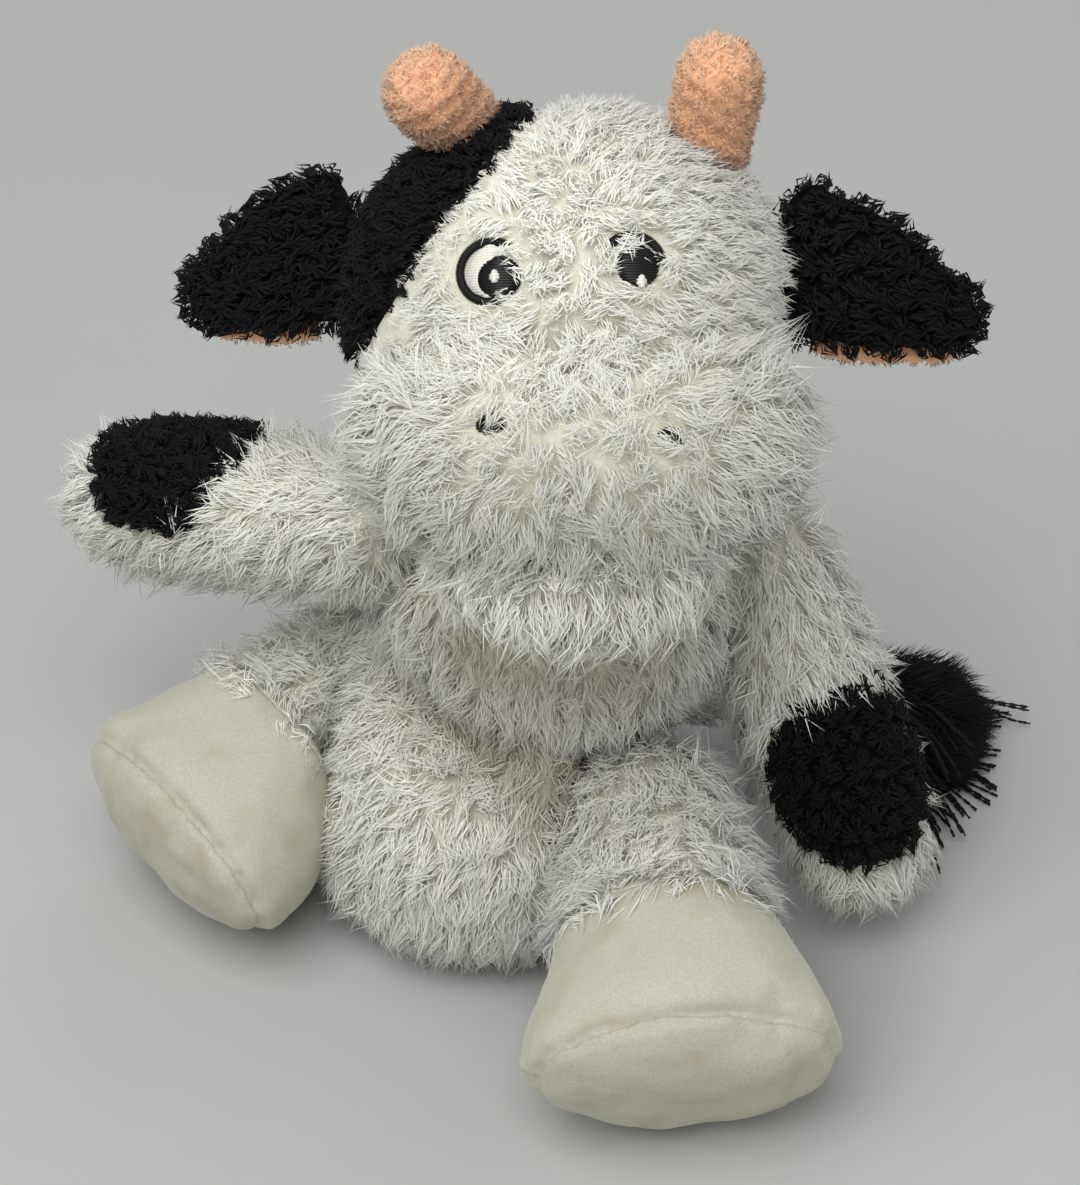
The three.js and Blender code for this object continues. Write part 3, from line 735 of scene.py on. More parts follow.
@cache
def pile_tree() -> Tree:
    """Makes the tree that grows locks of pile on a skin.

    Returns:
        The tree.
    """
    tree, given = new_tree(
        "pile", Float=("Density", "Length", "Lock Spacing", "Pull", "Lift", "Lean", "Scatter", "Floor",
                       "Zone From", "Zone To"),
        Int=("Seed",), Collection=("Strands",), Material=("Finish",))
    add, number, vector = (partial(helper, tree) for helper in (add_node, maths, vectors))
    position = add("GeometryNodeInputPosition").outputs[0]
    apart = add("ShaderNodeSeparateXYZ", None, {0: position}).outputs
    share, lying = named(tree, "pile"), named(tree, "comb", "FLOAT_VECTOR")
    haired = compared(tree, "GREATER_THAN", share, BARE)
    inside = number("MULTIPLY", compared(tree, "GREATER_EQUAL", apart["Y"], given["Zone From"]),
                    compared(tree, "LESS_THAN", apart["Y"], given["Zone To"]))

    def tip_of(out: Socket, seed_shift: int) -> Socket:
        """Gives where a strand's tip would lie by itself.

        Args:
            out: The surface's normal.
            seed_shift: Keeps this random draw apart from the others.

        Returns:
            The tip's place.
        """
        combed = vector("ADD", vector("SCALE", out, given["Lift"]), vector("SCALE", lying, given["Lean"]))
        loose = random_vector(tree, 1.0, number("ADD", given["Seed"], seed_shift))
        reach = vector("ADD", combed, vector("SCALE", loose, given["Scatter"]))
        length = number("MULTIPLY", share, given["Length"])
        return vector("ADD", position, vector("SCALE", reach, length))

    lock_roots = add("GeometryNodeDistributePointsOnFaces", {"distribute_method": "POISSON"}, {
        "Mesh": given["Geometry"], "Selection": haired, "Distance Min": given["Lock Spacing"],
        "Density Max": MOST_LOCKS, "Seed": LOCK_SEED}).outputs
    lock_tips = add("GeometryNodeStoreNamedAttribute", {"data_type": "FLOAT_VECTOR", "domain": "POINT"}, {
        "Geometry": lock_roots["Points"], "Name": "tip",
        "Value": tip_of(lock_roots["Normal"], LOCK_TIP_SEED)}).outputs[0]
    roots = add("GeometryNodeDistributePointsOnFaces", {"distribute_method": "RANDOM"}, {
        "Mesh": given["Geometry"], "Selection": number("MULTIPLY", inside, haired),
        "Density": given["Density"], "Seed": given["Seed"]}).outputs
    nearest = add("GeometryNodeSampleNearest", {"domain": "POINT"}, {"Geometry": lock_tips}).outputs[0]
    lock_tip = add("GeometryNodeSampleIndex", {"data_type": "FLOAT_VECTOR", "domain": "POINT"}, {
        "Geometry": lock_tips, "Value": named(tree, "tip", "FLOAT_VECTOR"), "Index": nearest}).outputs[0]
    aim = mixed(tree, given["Pull"], tip_of(roots["Normal"], STRAND_TIP_SEED), lock_tip, "VECTOR")
    turned = add("FunctionNodeAxesToRotation", {"primary_axis": "Z", "secondary_axis": "X"}, {
        0: vector("SUBTRACT", aim, position),
        1: vector("ADD", roots["Normal"], random_vector(tree, BOW, BOW_SEED))}).outputs[0]
    uneven = add("FunctionNodeRandomValue", {"data_type": "FLOAT"}, {
        "Min": UNEVEN[0], "Max": UNEVEN[1], "Seed": LENGTH_SEED}).outputs[1]
    length = number("MULTIPLY", number("MULTIPLY", uneven, given["Length"]), share)
    kinds = add("GeometryNodeCollectionInfo", None, {
        "Collection": given["Strands"], "Separate Children": True, "Reset Children": True}).outputs[0]
    strands = add("GeometryNodeInstanceOnPoints", None, {
        "Points": roots["Points"], "Instance": kinds, "Pick Instance": True,
        "Rotation": turned, "Scale": length}).outputs[0]
    shade = add("FunctionNodeRandomValue", {"data_type": "FLOAT"}, {"ID": nearest, "Seed": SHADE_SEED})
    shaded = add("GeometryNodeStoreNamedAttribute", {"data_type": "FLOAT", "domain": "INSTANCE"}, {
        "Geometry": strands, "Name": "shade", "Value": shade.outputs[1]}).outputs[0]
    real = add("GeometryNodeRealizeInstances", None, {"Geometry": shaded}).outputs[0]
    over = number("SUBTRACT", apart["Z"], given["Floor"])
    height = number("MAXIMUM", apart["Z"], number("MULTIPLY_ADD", over, PRESSED, given["Floor"]))
    raised = add("ShaderNodeCombineXYZ", None, {"X": apart["X"], "Y": apart["Y"], "Z": height}).outputs[0]
    laid = add("GeometryNodeSetPosition", None, {"Geometry": real, "Position": raised})
    return close_tree(tree, laid.outputs[0], given["Finish"])


@cache
def stitch_tree() -> Tree:
    """Makes the tree that lays a stitch at each guide vertex, along its own direction.

    Returns:
        The tree.
    """
    tree, given = new_tree("stitches", Float=("Thread",), Object=("Stitch",), Material=("Finish",))
    add = partial(add_node, tree)
    course = named(tree, "course", "FLOAT_VECTOR")
    turned = add("FunctionNodeAxesToRotation", {"primary_axis": "X", "secondary_axis": "Z"}, {
        0: course, 1: named(tree, "out", "FLOAT_VECTOR")}).outputs[0]
    reach = add("ShaderNodeVectorMath", {"operation": "LENGTH"}, {0: course}).outputs["Value"]
    size = add("ShaderNodeCombineXYZ", None, {
        "X": reach, "Y": given["Thread"], "Z": given["Thread"]}).outputs[0]
    stitch = add("GeometryNodeObjectInfo", None, {"Object": given["Stitch"]})
    laid = add("GeometryNodeInstanceOnPoints", None, {
        "Points": given["Geometry"], "Instance": stitch.outputs["Geometry"],
        "Rotation": turned, "Scale": size})
    return close_tree(tree, laid.outputs[0], given["Finish"])


@cache
def yarn_tree() -> Tree:
    """Makes the tree that lays two twisted plies of yarn along each guide line.

    Returns:
        The tree.
    """
    tree, given = new_tree("yarn", Float=("Ply", "Twist"), Material=("Finish",))
    add, number, vector = (partial(helper, tree) for helper in (add_node, maths, vectors))
    line = add("GeometryNodeMeshToCurve", None, {"Mesh": given["Geometry"]})
    smooth = add("GeometryNodeResampleCurve", {"mode": "LENGTH"}, {
        "Curve": line.outputs[0], "Length": YARN_STEP})
    along = add("GeometryNodeSplineParameter").outputs["Length"]
    tilted = add("GeometryNodeSetCurveTilt", None, {
        "Curve": smooth.outputs[0], "Tilt": number("MULTIPLY", along, given["Twist"])})
    sized = add("GeometryNodeSetCurveRadius", None, {
        "Curve": tilted.outputs[0], "Radius": named(tree, "thick")})
    round_ply = add("GeometryNodeCurvePrimitiveCircle", None, {
        "Resolution": PLY_SIDES, "Radius": given["Ply"]})
    shift = add("ShaderNodeCombineXYZ", None, {"X": given["Ply"]}).outputs[0]
    plies = add("GeometryNodeJoinGeometry")
    for offset in (shift, vector("SCALE", shift, -1.0)):
        ply = add("GeometryNodeTransform", None, {"Geometry": round_ply.outputs[0], "Translation": offset})
        tree.links.new(ply.outputs[0], plies.inputs[0])
    swept = add("GeometryNodeCurveToMesh", None, {
        "Curve": sized.outputs[0], "Profile Curve": plies.outputs[0], "Fill Caps": True})
    return close_tree(tree, swept.outputs[0], given["Finish"])


# Pile


@dataclass(frozen=True)
class Pile:
    """A kind of pile: its strands, its locks and how it lies."""

    finish: PileFinish
    length: float
    thickness: float
    density: float
    lock: float = 4 * MM
    pull: float = 0.6
    lift: float = 0.7
    lean: float = 0.6
    scatter: float = 0.25
    bend: float = 0.2
    soft: float = 0.7
    kinds: int = 8
    floor: float = 0.6 * MM
    first_seed: int = 11
    bend_range: tuple[float, float] = (0.4, 1.6)
    belly_range: tuple[float, float] = (0.35, 0.55)
    root_depth: float = 0.04

    def strand(self, index: int) -> Object:
        """Makes one closed strand of unit length, thickest below its middle and bowed towards +X.

        Args:
            index: Which of the kinds it is.

        Returns:
            The strand.
        """
        draw = random.Random(index * 17 + 5)
        bend = self.bend * draw.uniform(*self.bend_range)
        phase = draw.uniform(0, math.tau)
        radius = self.thickness / self.length / 2
        thickest = draw.uniform(*self.belly_range)
        bm = bmesh.new()
        root = bm.verts.new((0, 0, -self.root_depth))
        ring = [bm.verts.new((bend + radius * math.cos(phase + turn), radius * math.sin(phase + turn),
                              thickest)) for turn in (0, math.tau / 3, 2 * math.tau / 3)]
        tip = bm.verts.new((0, 0, 1))
        for side in range(3):
            bm.faces.new((ring[(side + 1) % 3], ring[side], root))
            bm.faces.new((ring[side], ring[(side + 1) % 3], tip))
        obj = from_bmesh(f"strand_{index}", bm)
        # along runs from 0 at the root to 1 at the tip; the pile's finish paints the root darker by it, as
        # shade
        store(obj.data, "along", np.array([0.0, 0.6, 0.6, 0.6, 1.0]))
        return obj

    def strands(self) -> bpy.types.Collection:
        """Makes this pile's strands, out of the scene.

        Returns:
            Their collection.
        """
        kit = bpy.data.collections.new("strands")
        for index in range(self.kinds):
            obj = self.strand(index)
            bpy.context.scene.collection.objects.unlink(obj)
            kit.objects.link(obj)
        return kit

    def grow(self, skin: Object, name: str, body: str, parts: int = 1, amount: float = 1.0) -> None:
        """Grows this pile on a combed skin.

        Args:
            skin: The skin, with its comb and pile kept on it.
            name: The new piece's name, numbered where it has parts.
            body: The CAD body that carries it.
            parts: How many pieces it is split into, from front to back.
            amount: A share of the usual density.
        """
        kit = self.strands()
        bounds = np.quantile(places(skin.data)[:, 1], np.linspace(0, 1, parts + 1))
        bounds[0] -= 1
        bounds[-1] += 1
        for part in range(parts):
            label = name if parts == 1 else f"{name}_{part + 1}"
            piece = run_tree(skin, pile_tree(), {
                "Density": self.density * amount, "Length": self.length, "Lock Spacing": self.lock,
                "Pull": self.pull, "Lift": self.lift, "Lean": self.lean, "Scatter": self.scatter,
                "Floor": self.floor, "Zone From": float(bounds[part]),
                "Zone To": float(bounds[part + 1]), "Seed": self.first_seed + part, "Strands": kit,
                "Finish": self.finish.material()}, label)
            soften(piece, self.soft)
            finish_piece(piece, self.finish, body)
        for obj in list(kit.objects):
            bpy.data.objects.remove(obj)
        bpy.data.collections.remove(kit)


# The torso, the limbs and the muzzle
LONG_PILE = Pile(WHITE_PILE, 6.2 * MM, 0.27 * MM, 3.5e6, lock=2.8 * MM, pull=0.66, lift=0.34, lean=0.65,
                 scatter=0.42, bend=0.14, soft=0.88)
# The head, the neck and the tail's stem, shorter and more upright
FACE_PILE = Pile(WHITE_PILE, 4.4 * MM, 0.26 * MM, 4.3e6, lock=2.4 * MM, pull=0.6, lift=0.36, lean=0.5,
                 scatter=0.45, bend=0.14, soft=0.88)
# A few long locks that stand out of the long pile
STRAY_PILE = Pile(WHITE_PILE, 8.0 * MM, 0.24 * MM, 0.55e6, lock=3.8 * MM, pull=0.92, lift=0.5, lean=0.65,
                  scatter=0.6, bend=0.2, soft=0.75)
# Black panel, ears and arm patches
DARK_PILE = Pile(BLACK_PILE, 3.2 * MM, 0.45 * MM, 3.6e6, lock=2.4 * MM, pull=0.8, lift=0.5, lean=0.5,
                 scatter=0.5, bend=0.3, soft=0.4)
# The tassel's frayed core
FLUFF_PILE = Pile(BLACK_PILE, 9 * MM, 0.36 * MM, 6.0e6, lock=2.5 * MM, pull=0.4, lift=0.45, lean=0.8,
                  scatter=0.35, bend=0.12, soft=0.4)
# Horns and ear linings
PEACH_FUZZ = Pile(PEACH_PILE, 1.3 * MM, 0.26 * MM, 5.0e6, lock=1.2 * MM, pull=0.4, lift=0.9, lean=0.3,
                  scatter=0.5, bend=0.2)


def soften(piece: Object, share: float) -> None:
    """Turns the strands' normals towards their skin's, so that the pile shades as one soft surface.

    Args:
        piece: The grown pile.
        share: How far they turn.
    """
    mesh = piece.data
    nap = unit(rows_of(mesh.attributes["nap"].data, "vector"))
    mesh.polygons.foreach_set("use_smooth", [True] * len(mesh.polygons))
    normals = unit(outwards(mesh) * (1 - share) + nap * share)
    mesh.normals_split_custom_set_from_vertices(normals.tolist())
    mesh.attributes.remove(mesh.attributes["nap"])


# Stitches


@dataclass
class Stitches:
    """Thread laid on a surface, stitch by stitch."""

    finish: ClothFinish
    thread: float = 0.35 * MM
    sides: int = 5
    points: list[Vector] = field(default_factory=list)
    courses: list[Vector] = field(default_factory=list)
    outs: list[Vector] = field(default_factory=list)

    def lay(self, start: Vector, end: Vector, out: Vector) -> None:
        """Adds one stitch.

        Args:
            start: Where the thread comes up.
            end: Where it goes down.
            out: The surface's normal there.
        """
        self.points.append((start + end) / 2)
        self.courses.append(end - start)
        self.outs.append(out)

    def single(self) -> Object:
        """Makes one stitch of unit length along X, arched in the middle.

        Returns:
            The stitch.
        """
        bm = bmesh.new()
        rings = []
        for t in (0.0, 0.25, 0.5, 0.75, 1.0):
            centre = Vector((t - 0.5, 0, 0.9 * math.sin(math.pi * t) - 0.6))
            width = 0.35 + 0.3 * math.sin(math.pi * t)
            rings.append([bm.verts.new(centre + Vector((0, width * math.cos(a), width * math.sin(a))))
                          for a in [math.tau * side / self.sides for side in range(self.sides)]])
        bm.faces.new(rings[0][::-1])
        bm.faces.new(rings[-1])
        for low, high in zip(rings, rings[1:]):
            for side in range(self.sides):
                after = (side + 1) % self.sides
                bm.faces.new((low[side], low[after], high[after], high[side]))
        bmesh.ops.recalc_face_normals(bm, faces=bm.faces)
        return from_bmesh("stitch", bm)

    def sew(self, name: str, body: str, replaced: list[str] | None = None) -> Object:
        """Turns the guides into thread.

        Args:
            name: The new piece's name.
            body: The CAD body that carries it.
            replaced: CAD nodes that it stands for.

        Returns:
            The new piece.
        """
        mesh = bpy.data.meshes.new("guides")
        mesh.from_pydata([tuple(p) for p in self.points], [], [])
        store(mesh, "course", np.array([tuple(c) for c in self.courses]))
        store(mesh, "out", np.array([tuple(o) for o in self.outs]))
        guides = new_object("guides", mesh)
        single = self.single()
        piece = run_tree(guides, stitch_tree(), {
            "Thread": self.thread, "Stitch": single, "Finish": self.finish.material()}, name)
        bpy.data.objects.remove(guides)
        bpy.data.objects.remove(single)
        return finish_piece(piece, self.finish, body, replaced)


@dataclass
class Embroidery:
    """An embroidered shape, laid on a skin in its own upright plane."""

    skin: Object
    centre: Vector
    behind: Vector
    depth: float = 9 * MM
    row_pitch: float = 0.4 * MM
    slope: float = 0.1 * MM
    slant: float = 0.06
    ring_step: float = 4.0
    stand_off: float = 12 * MM
    cast: float = 40 * MM

    def __post_init__(self) -> None:
        """Sets the plane's axes and the search tree over the cloth."""
        self.out = (self.centre - self.behind).normalized()
        self.wide = (Vector((1, 0, 0)) - self.out * self.out.x).normalized()
        self.tall = self.out.cross(self.wide)
        self.tall *= 1 if self.tall.z > 0 else -1
        self.tree = BVHTree.FromObject(self.skin, bpy.context.evaluated_depsgraph_get())

    def moved(self, x: float, y: float) -> "Embroidery":
        """Returns the same kind of shape with its middle moved across and up."""
        return Embroidery(self.skin, self.centre + self.wide * x + self.tall * y, self.behind)

    def across(self, rows: np.ndarray) -> tuple[np.ndarray, np.ndarray]:
        """Gives places in the shape's plane.

        Args:
            rows: Places on the cloth.

        Returns:
            How far each is across and up; far off where it is behind the shape.
        """
        away = rows - np.array(self.centre)
        hidden = away @ np.array(self.out) < -self.depth
        return away @ np.array(self.wide) + hidden * 1.0, away @ np.array(self.tall)

    def on_cloth(self, x: float, y: float, lift: float) -> tuple[Vector, Vector]:
        """Finds the cloth below a place in the shape's plane.

        Args:
            x: Across the shape.
            y: Up the shape.
            lift: Height above the cloth.

        Returns:
            The place and the cloth's normal.
        """
        start = self.centre + self.wide * x + self.tall * y + self.out * self.stand_off
        hit, normal, _, _ = self.tree.ray_cast(start, -self.out, self.cast)
        return hit + normal * lift, normal

    def oval(self, finish: ClothFinish, size: tuple[float, float], lift: float,
             at: tuple[float, float] = (0.0, 0.0), thread: float = 0.35 * MM) -> Stitches:
        """Fills an oval with level stitches.

        Args:
            finish: The thread.
            size: The oval's half width and half height.
            lift: Height above the cloth.
            at: The oval's middle.
            thread: The thread's thickness.

        Returns:
            The stitches.
        """
        stitches = Stitches(finish, thread)
        count = int(2 * size[1] / self.row_pitch)
        for row in range(count):
            y = (2 * (row + 0.5) / count - 1) * size[1]
            half = size[0] * math.sqrt(1 - (y / size[1]) ** 2)
            start, normal = self.on_cloth(at[0] - half, at[1] + y, lift)
            end, _ = self.on_cloth(at[0] + half, at[1] + y + self.slope, lift)
            stitches.lay(start, end, normal)
        return stitches

    def ring(self, finish: ClothFinish, inner: tuple[float, float], outer: tuple[float, float],
             lift: float, arc: tuple[float, float]) -> Stitches:
        """Lays stitches across the part of an oval ring that the pile leaves free.

        Args:
            finish: The thread.
            inner: The inner oval's half width and half height.
            outer: The outer oval's half width and half height.
            lift: Height above the cloth.
            arc: Where the arc starts and ends, in degrees from the viewer's right.

        Returns:
            The stitches.
        """
        stitches = Stitches(finish)
        for degrees in np.arange(*arc, self.ring_step):
            (start, normal), (end, _) = (
                self.on_cloth(size[0] * math.cos(angle), size[1] * math.sin(angle), lift)
                for size, angle in ((inner, math.radians(degrees)),
                                    (outer, math.radians(degrees) + self.slant)))
            stitches.lay(start, end, normal)
        return stitches


# The cow's pieces


def towards(*direction: float) -> Callable:
    """Returns a flow that lies one way everywhere."""
    return lambda rows, out: np.tile(direction, (len(rows), 1))


DOWN = towards(0.0, 0.0, -1.0)
# How deep in another skin the pile ends, and how far outside it is whole
BURIED = (-0.6 * MM, 0.2 * MM)


def free_share(rows: np.ndarray, others: list[Object]) -> np.ndarray:
    """How far each place stands clear of other skins.

    Args:
        rows: The places.
        others: The other closed skins.

    Returns:
        1 outside them all, falling to 0 inside.
    """
    graph = bpy.context.evaluated_depsgraph_get()
    share = np.ones(len(rows))
    for other in others:
        tree = BVHTree.FromObject(other, graph)
        hits = [tree.find_nearest(Vector(row)) for row in rows]
        depth = np.array([(Vector(row) - hit[0]).dot(hit[1]) for row, hit in zip(rows, hits)])
        share *= ramp(depth, *BURIED)
    return share


@dataclass
class Torso:
    """The body bag: a weighted seat, a crease at the belly and a stuffed chest."""

    stuffing: Stuffing = Stuffing(voxel=2.8 * MM)
    crease_height: float = 41 * MM
    crease_slope: float = -0.34
    crease_depth: float = 7 * MM
    crease_width: float = 7 * MM
    chest_depth: float = 5 * MM
    rest_height: float = 1.6 * MM
    socket_share: float = 0.89
    web: tuple[float, float, float] = (2.5 * MM, -5 * MM, 38 * MM)
    web_reach: float = 9 * MM
    holes: dict[str, float] = field(default_factory=lambda: {"arm": 13 * MM, "leg": 16 * MM})
    hole_fade: float = 1.5 * MM
    pressed_pile: float = 0.45
    # How far the pile is tinted towards its soil colour, as grime and painted shade: in the belly crease and
    # below the chin, where shade falls, mottled at this grain and capped
    crease_grime_and_shade: float = 0.65
    chin_grime_and_shade: float = 0.75
    grime_and_shade_grain: float = 12 * MM
    most_grime_and_shade: float = 0.8
    crease_front: tuple[float, float] = (-22 * MM, -2 * MM)
    chin_middle: float = 2 * MM
    chin_sides: tuple[float, float] = (12 * MM, 30 * MM)
    chin_front: tuple[float, float] = (-15 * MM, 5 * MM)
    chin_heights: tuple[float, float] = (48 * MM, 78 * MM)

    def crease(self, rows: np.ndarray) -> np.ndarray:
        """Returns how strongly the belly crease draws each place in, from 0 to 1; it also says where grime
        and painted shade tint the pile.
        """
        line = self.crease_height + self.crease_slope * rows[:, 0]
        return np.exp(-((rows[:, 2] - line) / self.crease_width) ** 2) * ramp(-rows[:, 1], *self.crease_front)

    def under_chin(self, rows: np.ndarray) -> np.ndarray:
        """Returns how strongly the head's weight presses each place in, below the chin, which is also where
        painted shade and grime tint the pile.
        """
        sides = 1 - ramp(np.abs(rows[:, 0] - self.chin_middle), *self.chin_sides)
        return ramp(-rows[:, 1], *self.chin_front) * ramp(rows[:, 2], *self.chin_heights) * sides

    def build(self) -> None:
        """Makes the torso's skin and pile, and the neck roll."""
        nodes = ["torso_cover", "torso_filling", "pellet_pouch"]
        skin = self.stuffing.skin("torso_skin", nodes)
        rows, out = places(skin.data), outwards(skin.data)
        drawn = self.crease(rows) * self.crease_depth + self.under_chin(rows) * self.chest_depth
        drawn *= 1 - np.exp(-(np.linalg.norm(rows - self.web, axis=1) / self.web_reach) ** 2)
        put(skin.data, rows - out * drawn[:, None])
        rows = places(skin.data)
        pile = ramp(rows[:, 2], self.rest_height, 2 * self.rest_height) * (
            1 - self.pressed_pile * self.under_chin(rows))
        for limb, reach in self.holes.items():
            hole = reach * self.socket_share
            for side in Side:
                away = np.linalg.norm(rows - np.array(PIVOTS[f"{side.value}_{limb}"]), axis=1)
                pile *= ramp(away, hole, hole + self.hole_fade)
        # Painted shade with some grime: the pile goes towards its brown soil colour in the belly crease and
        # below the chin, where the head's shadow falls
        grime = self.crease_grime_and_shade * self.crease(rows) + self.chin_grime_and_shade * self.under_chin(rows) * (
            1 + 0.5 * mottle(rows, self.grime_and_shade_grain))
        comb(skin, DOWN, pile, grime=np.clip(grime, 0, self.most_grime_and_shade))
        LONG_PILE.grow(skin, "torso_pile", "torso", parts=3)
        STRAY_PILE.grow(skin, "torso_tufts", "torso")
        finish_piece(skin, BACKING_CREAM, "torso", nodes)
        roll = Stuffing(voxel=1.6 * MM, inset=1.5 * MM, cap=0.5 * MM).skin("neck_skin", ["neck_roll"])
        comb(roll, DOWN)
        FACE_PILE.grow(roll, "neck_pile", "neck")
        finish_piece(roll, BACKING_CREAM, "neck", ["neck_roll"])


@dataclass
class Head:
    """The head: a pile cover with a dark panel, muzzle, chin, embroidery and horns."""

    stuffing: Stuffing = Stuffing()
    eye_fade: float = 7 * MM
    patch_shift: float = -1.5 * MM
    patch_trim: float = 0.45
    pupil: tuple[float, float] = (3.3 * MM, 3.0 * MM)
    light: tuple[float, float] = (0.9 * MM, 0.8 * MM)
    nostril_size: tuple[float, float] = (2.1 * MM, 1.5 * MM)
    mouth_size: tuple[float, float] = (1.5 * MM, 0.6 * MM)
    horn_pitch: float = 3.0 * MM
    horn_ridge: float = 0.22 * MM
    horn_bump: float = 0.55 * MM
    horn_sink: float = 0.6 * MM
    parting_width: float = 7 * MM
    forehead: tuple[float, float] = (3 * MM, 14 * MM)
    cheek_fade: tuple[float, float] = (8 * MM, 25 * MM)
    muzzle_middle: tuple[float, float] = (8 * MM, 20 * MM)
    muzzle_rim: tuple[float, float] = (4 * MM, 10 * MM)
    muzzle_ends: tuple[float, float] = (18 * MM, 30 * MM)
    ring_inner: tuple[float, float] = (4.0 * MM, 3.9 * MM)
    ring_outer: tuple[float, float] = (5.4 * MM, 5.3 * MM)
    eye_moves: dict[Side, tuple[float, float]] = field(default_factory=lambda: {
        Side.LEFT: (0.0, -0.9 * MM), Side.RIGHT: (1.8 * MM, -0.2 * MM)})
    pupil_at: dict[Side, tuple[float, float]] = field(default_factory=lambda: {
        Side.LEFT: (0.6 * MM, -0.2 * MM), Side.RIGHT: (1.6 * MM, -1.1 * MM)})
    light_at: dict[Side, tuple[float, float]] = field(default_factory=lambda: {
        Side.LEFT: (0.9 * MM, -2.6 * MM), Side.RIGHT: (1.1 * MM, -1.0 * MM)})
    eye_windows: dict[Side, list[tuple[float, float, float]]] = field(default_factory=lambda: {
        Side.LEFT: [(0.7 * MM, -0.6 * MM, 2.6 * MM), (3.0 * MM, 3.8 * MM, 1.2 * MM),
                    (0.6 * MM, 4.4 * MM, 0.9 * MM)],
        Side.RIGHT: [(-2.0 * MM, 0.2 * MM, 4.2 * MM), (-1.0 * MM, 3.0 * MM, 2.6 * MM),
                     (-1.6 * MM, -3.0 * MM, 2.4 * MM), (1.2 * MM, -1.0 * MM, 1.8 * MM)]})
    ring_arc: dict[Side, tuple[float, float]] = field(default_factory=lambda: {
        Side.LEFT: (5.0, 140.0), Side.RIGHT: (50.0, 290.0)})
    eye_cover: dict[Side, float] = field(default_factory=lambda: {Side.LEFT: 0.85, Side.RIGHT: 0.65})
    nostril_moves: dict[Side, tuple[float, float]] = field(default_factory=lambda: {
        Side.LEFT: (2.4 * MM, 0.6 * MM), Side.RIGHT: (-2.6 * MM, 1.2 * MM)})
    nostril_bare: dict[Side, float] = field(default_factory=lambda: {
        Side.LEFT: 0.4 * MM, Side.RIGHT: 1.2 * MM})

    def eye_share(self, rows: np.ndarray) -> np.ndarray:
        """Returns how near each place is to an eye: 1 there, falling to 0."""
        nodes = [f"{side.value}_eye_{part}" for part in ("outline", "pupil") for side in Side]
        return 1 - ramp(distances(surface(nodes), rows), 2 * MM, self.eye_fade)

    def face_flow(self, rows: np.ndarray, out: np.ndarray) -> np.ndarray:
        """Pile combed outwards from the middle of the face, short and upright on the forehead.

        Args:
            rows: The places.
            out: Their normals; not used.

        Returns:
            A direction for each place.
        """
        centre = middle("left_eye_pupil").lerp(middle("right_eye_pupil"), 0.5)
        high = ramp(rows[:, 2] - centre.z, *self.forehead)
        apart = np.tanh((rows[:, 0] - centre.x) / self.parting_width)
        fall = -0.3 - 0.4 * ramp(rows[:, 1] - centre.y, *self.cheek_fade)
        flow = np.stack([0.8 * apart, np.zeros(len(rows)), fall], axis=1)
        return flow * (1 - 0.7 * high)[:, None]

    def eye(self, side: Side, skin: Object) -> Embroidery:
        """Returns an eye's place on the head's skin, with nothing sewn yet."""
        ring = Embroidery(skin, middle(f"{side.value}_eye_outline"), middle("head_filling"))
        return ring.moved(*self.eye_moves[side])

    def nostril(self, side: Side, skin: Object) -> Embroidery:
        """Returns a nostril's place on the muzzle's skin, with nothing sewn yet."""
        hole = Embroidery(skin, middle(f"{side.value}_nostril"), middle("muzzle_filling"))
        return hole.moved(*self.nostril_moves[side])

    def face_length(self, skin: Object) -> np.ndarray:
        """Share of the pile's length: bare where the eyes show and short over their covered parts.

        Args:
            skin: The head's skin.

        Returns:
            The shares.
        """
        rows = places(skin.data)
        share = np.ones(len(rows))
        for side in Side:
            x, y = self.eye(side, skin).across(rows)
            away = np.hypot(x / self.ring_outer[0], y / self.ring_outer[1])
            cover = self.eye_cover[side]
            share *= cover + (1 - cover) * ramp(away, 1.0, 1.7)
            for wide, tall, reach in self.eye_windows[side]:
                share *= ramp(np.hypot(x - wide, y - tall), reach - 0.2 * MM, reach + 0.7 * MM)
        return share

    def muzzle_length(self, skin: Object) -> np.ndarray:
        """Share of the pile's length: short in the middle, long at the lower rim, bare at the nostrils.

        Args:
            skin: The muzzle's skin.

        Returns:
            The shares.
        """
        away = places(skin.data) - np.array(middle("muzzle_cover"))
        far = np.linalg.norm(away * (0.7, 0.0, 1.2), axis=1)
        share = 0.8 + 0.15 * ramp(far, *self.muzzle_middle) + 0.38 * ramp(-away[:, 2], *self.muzzle_rim)
        share += 0.3 * ramp(np.abs(away[:, 0]), *self.muzzle_ends)
        for side in Side:
            x, y = self.nostril(side, skin).across(places(skin.data))
            near = np.hypot(x, y)
            bare = self.nostril_bare[side]
            share *= ramp(near, bare - 0.3 * MM, bare + 0.6 * MM) * (0.7 + 0.3 * ramp(near, 2 * MM, 5 * MM))
        return share

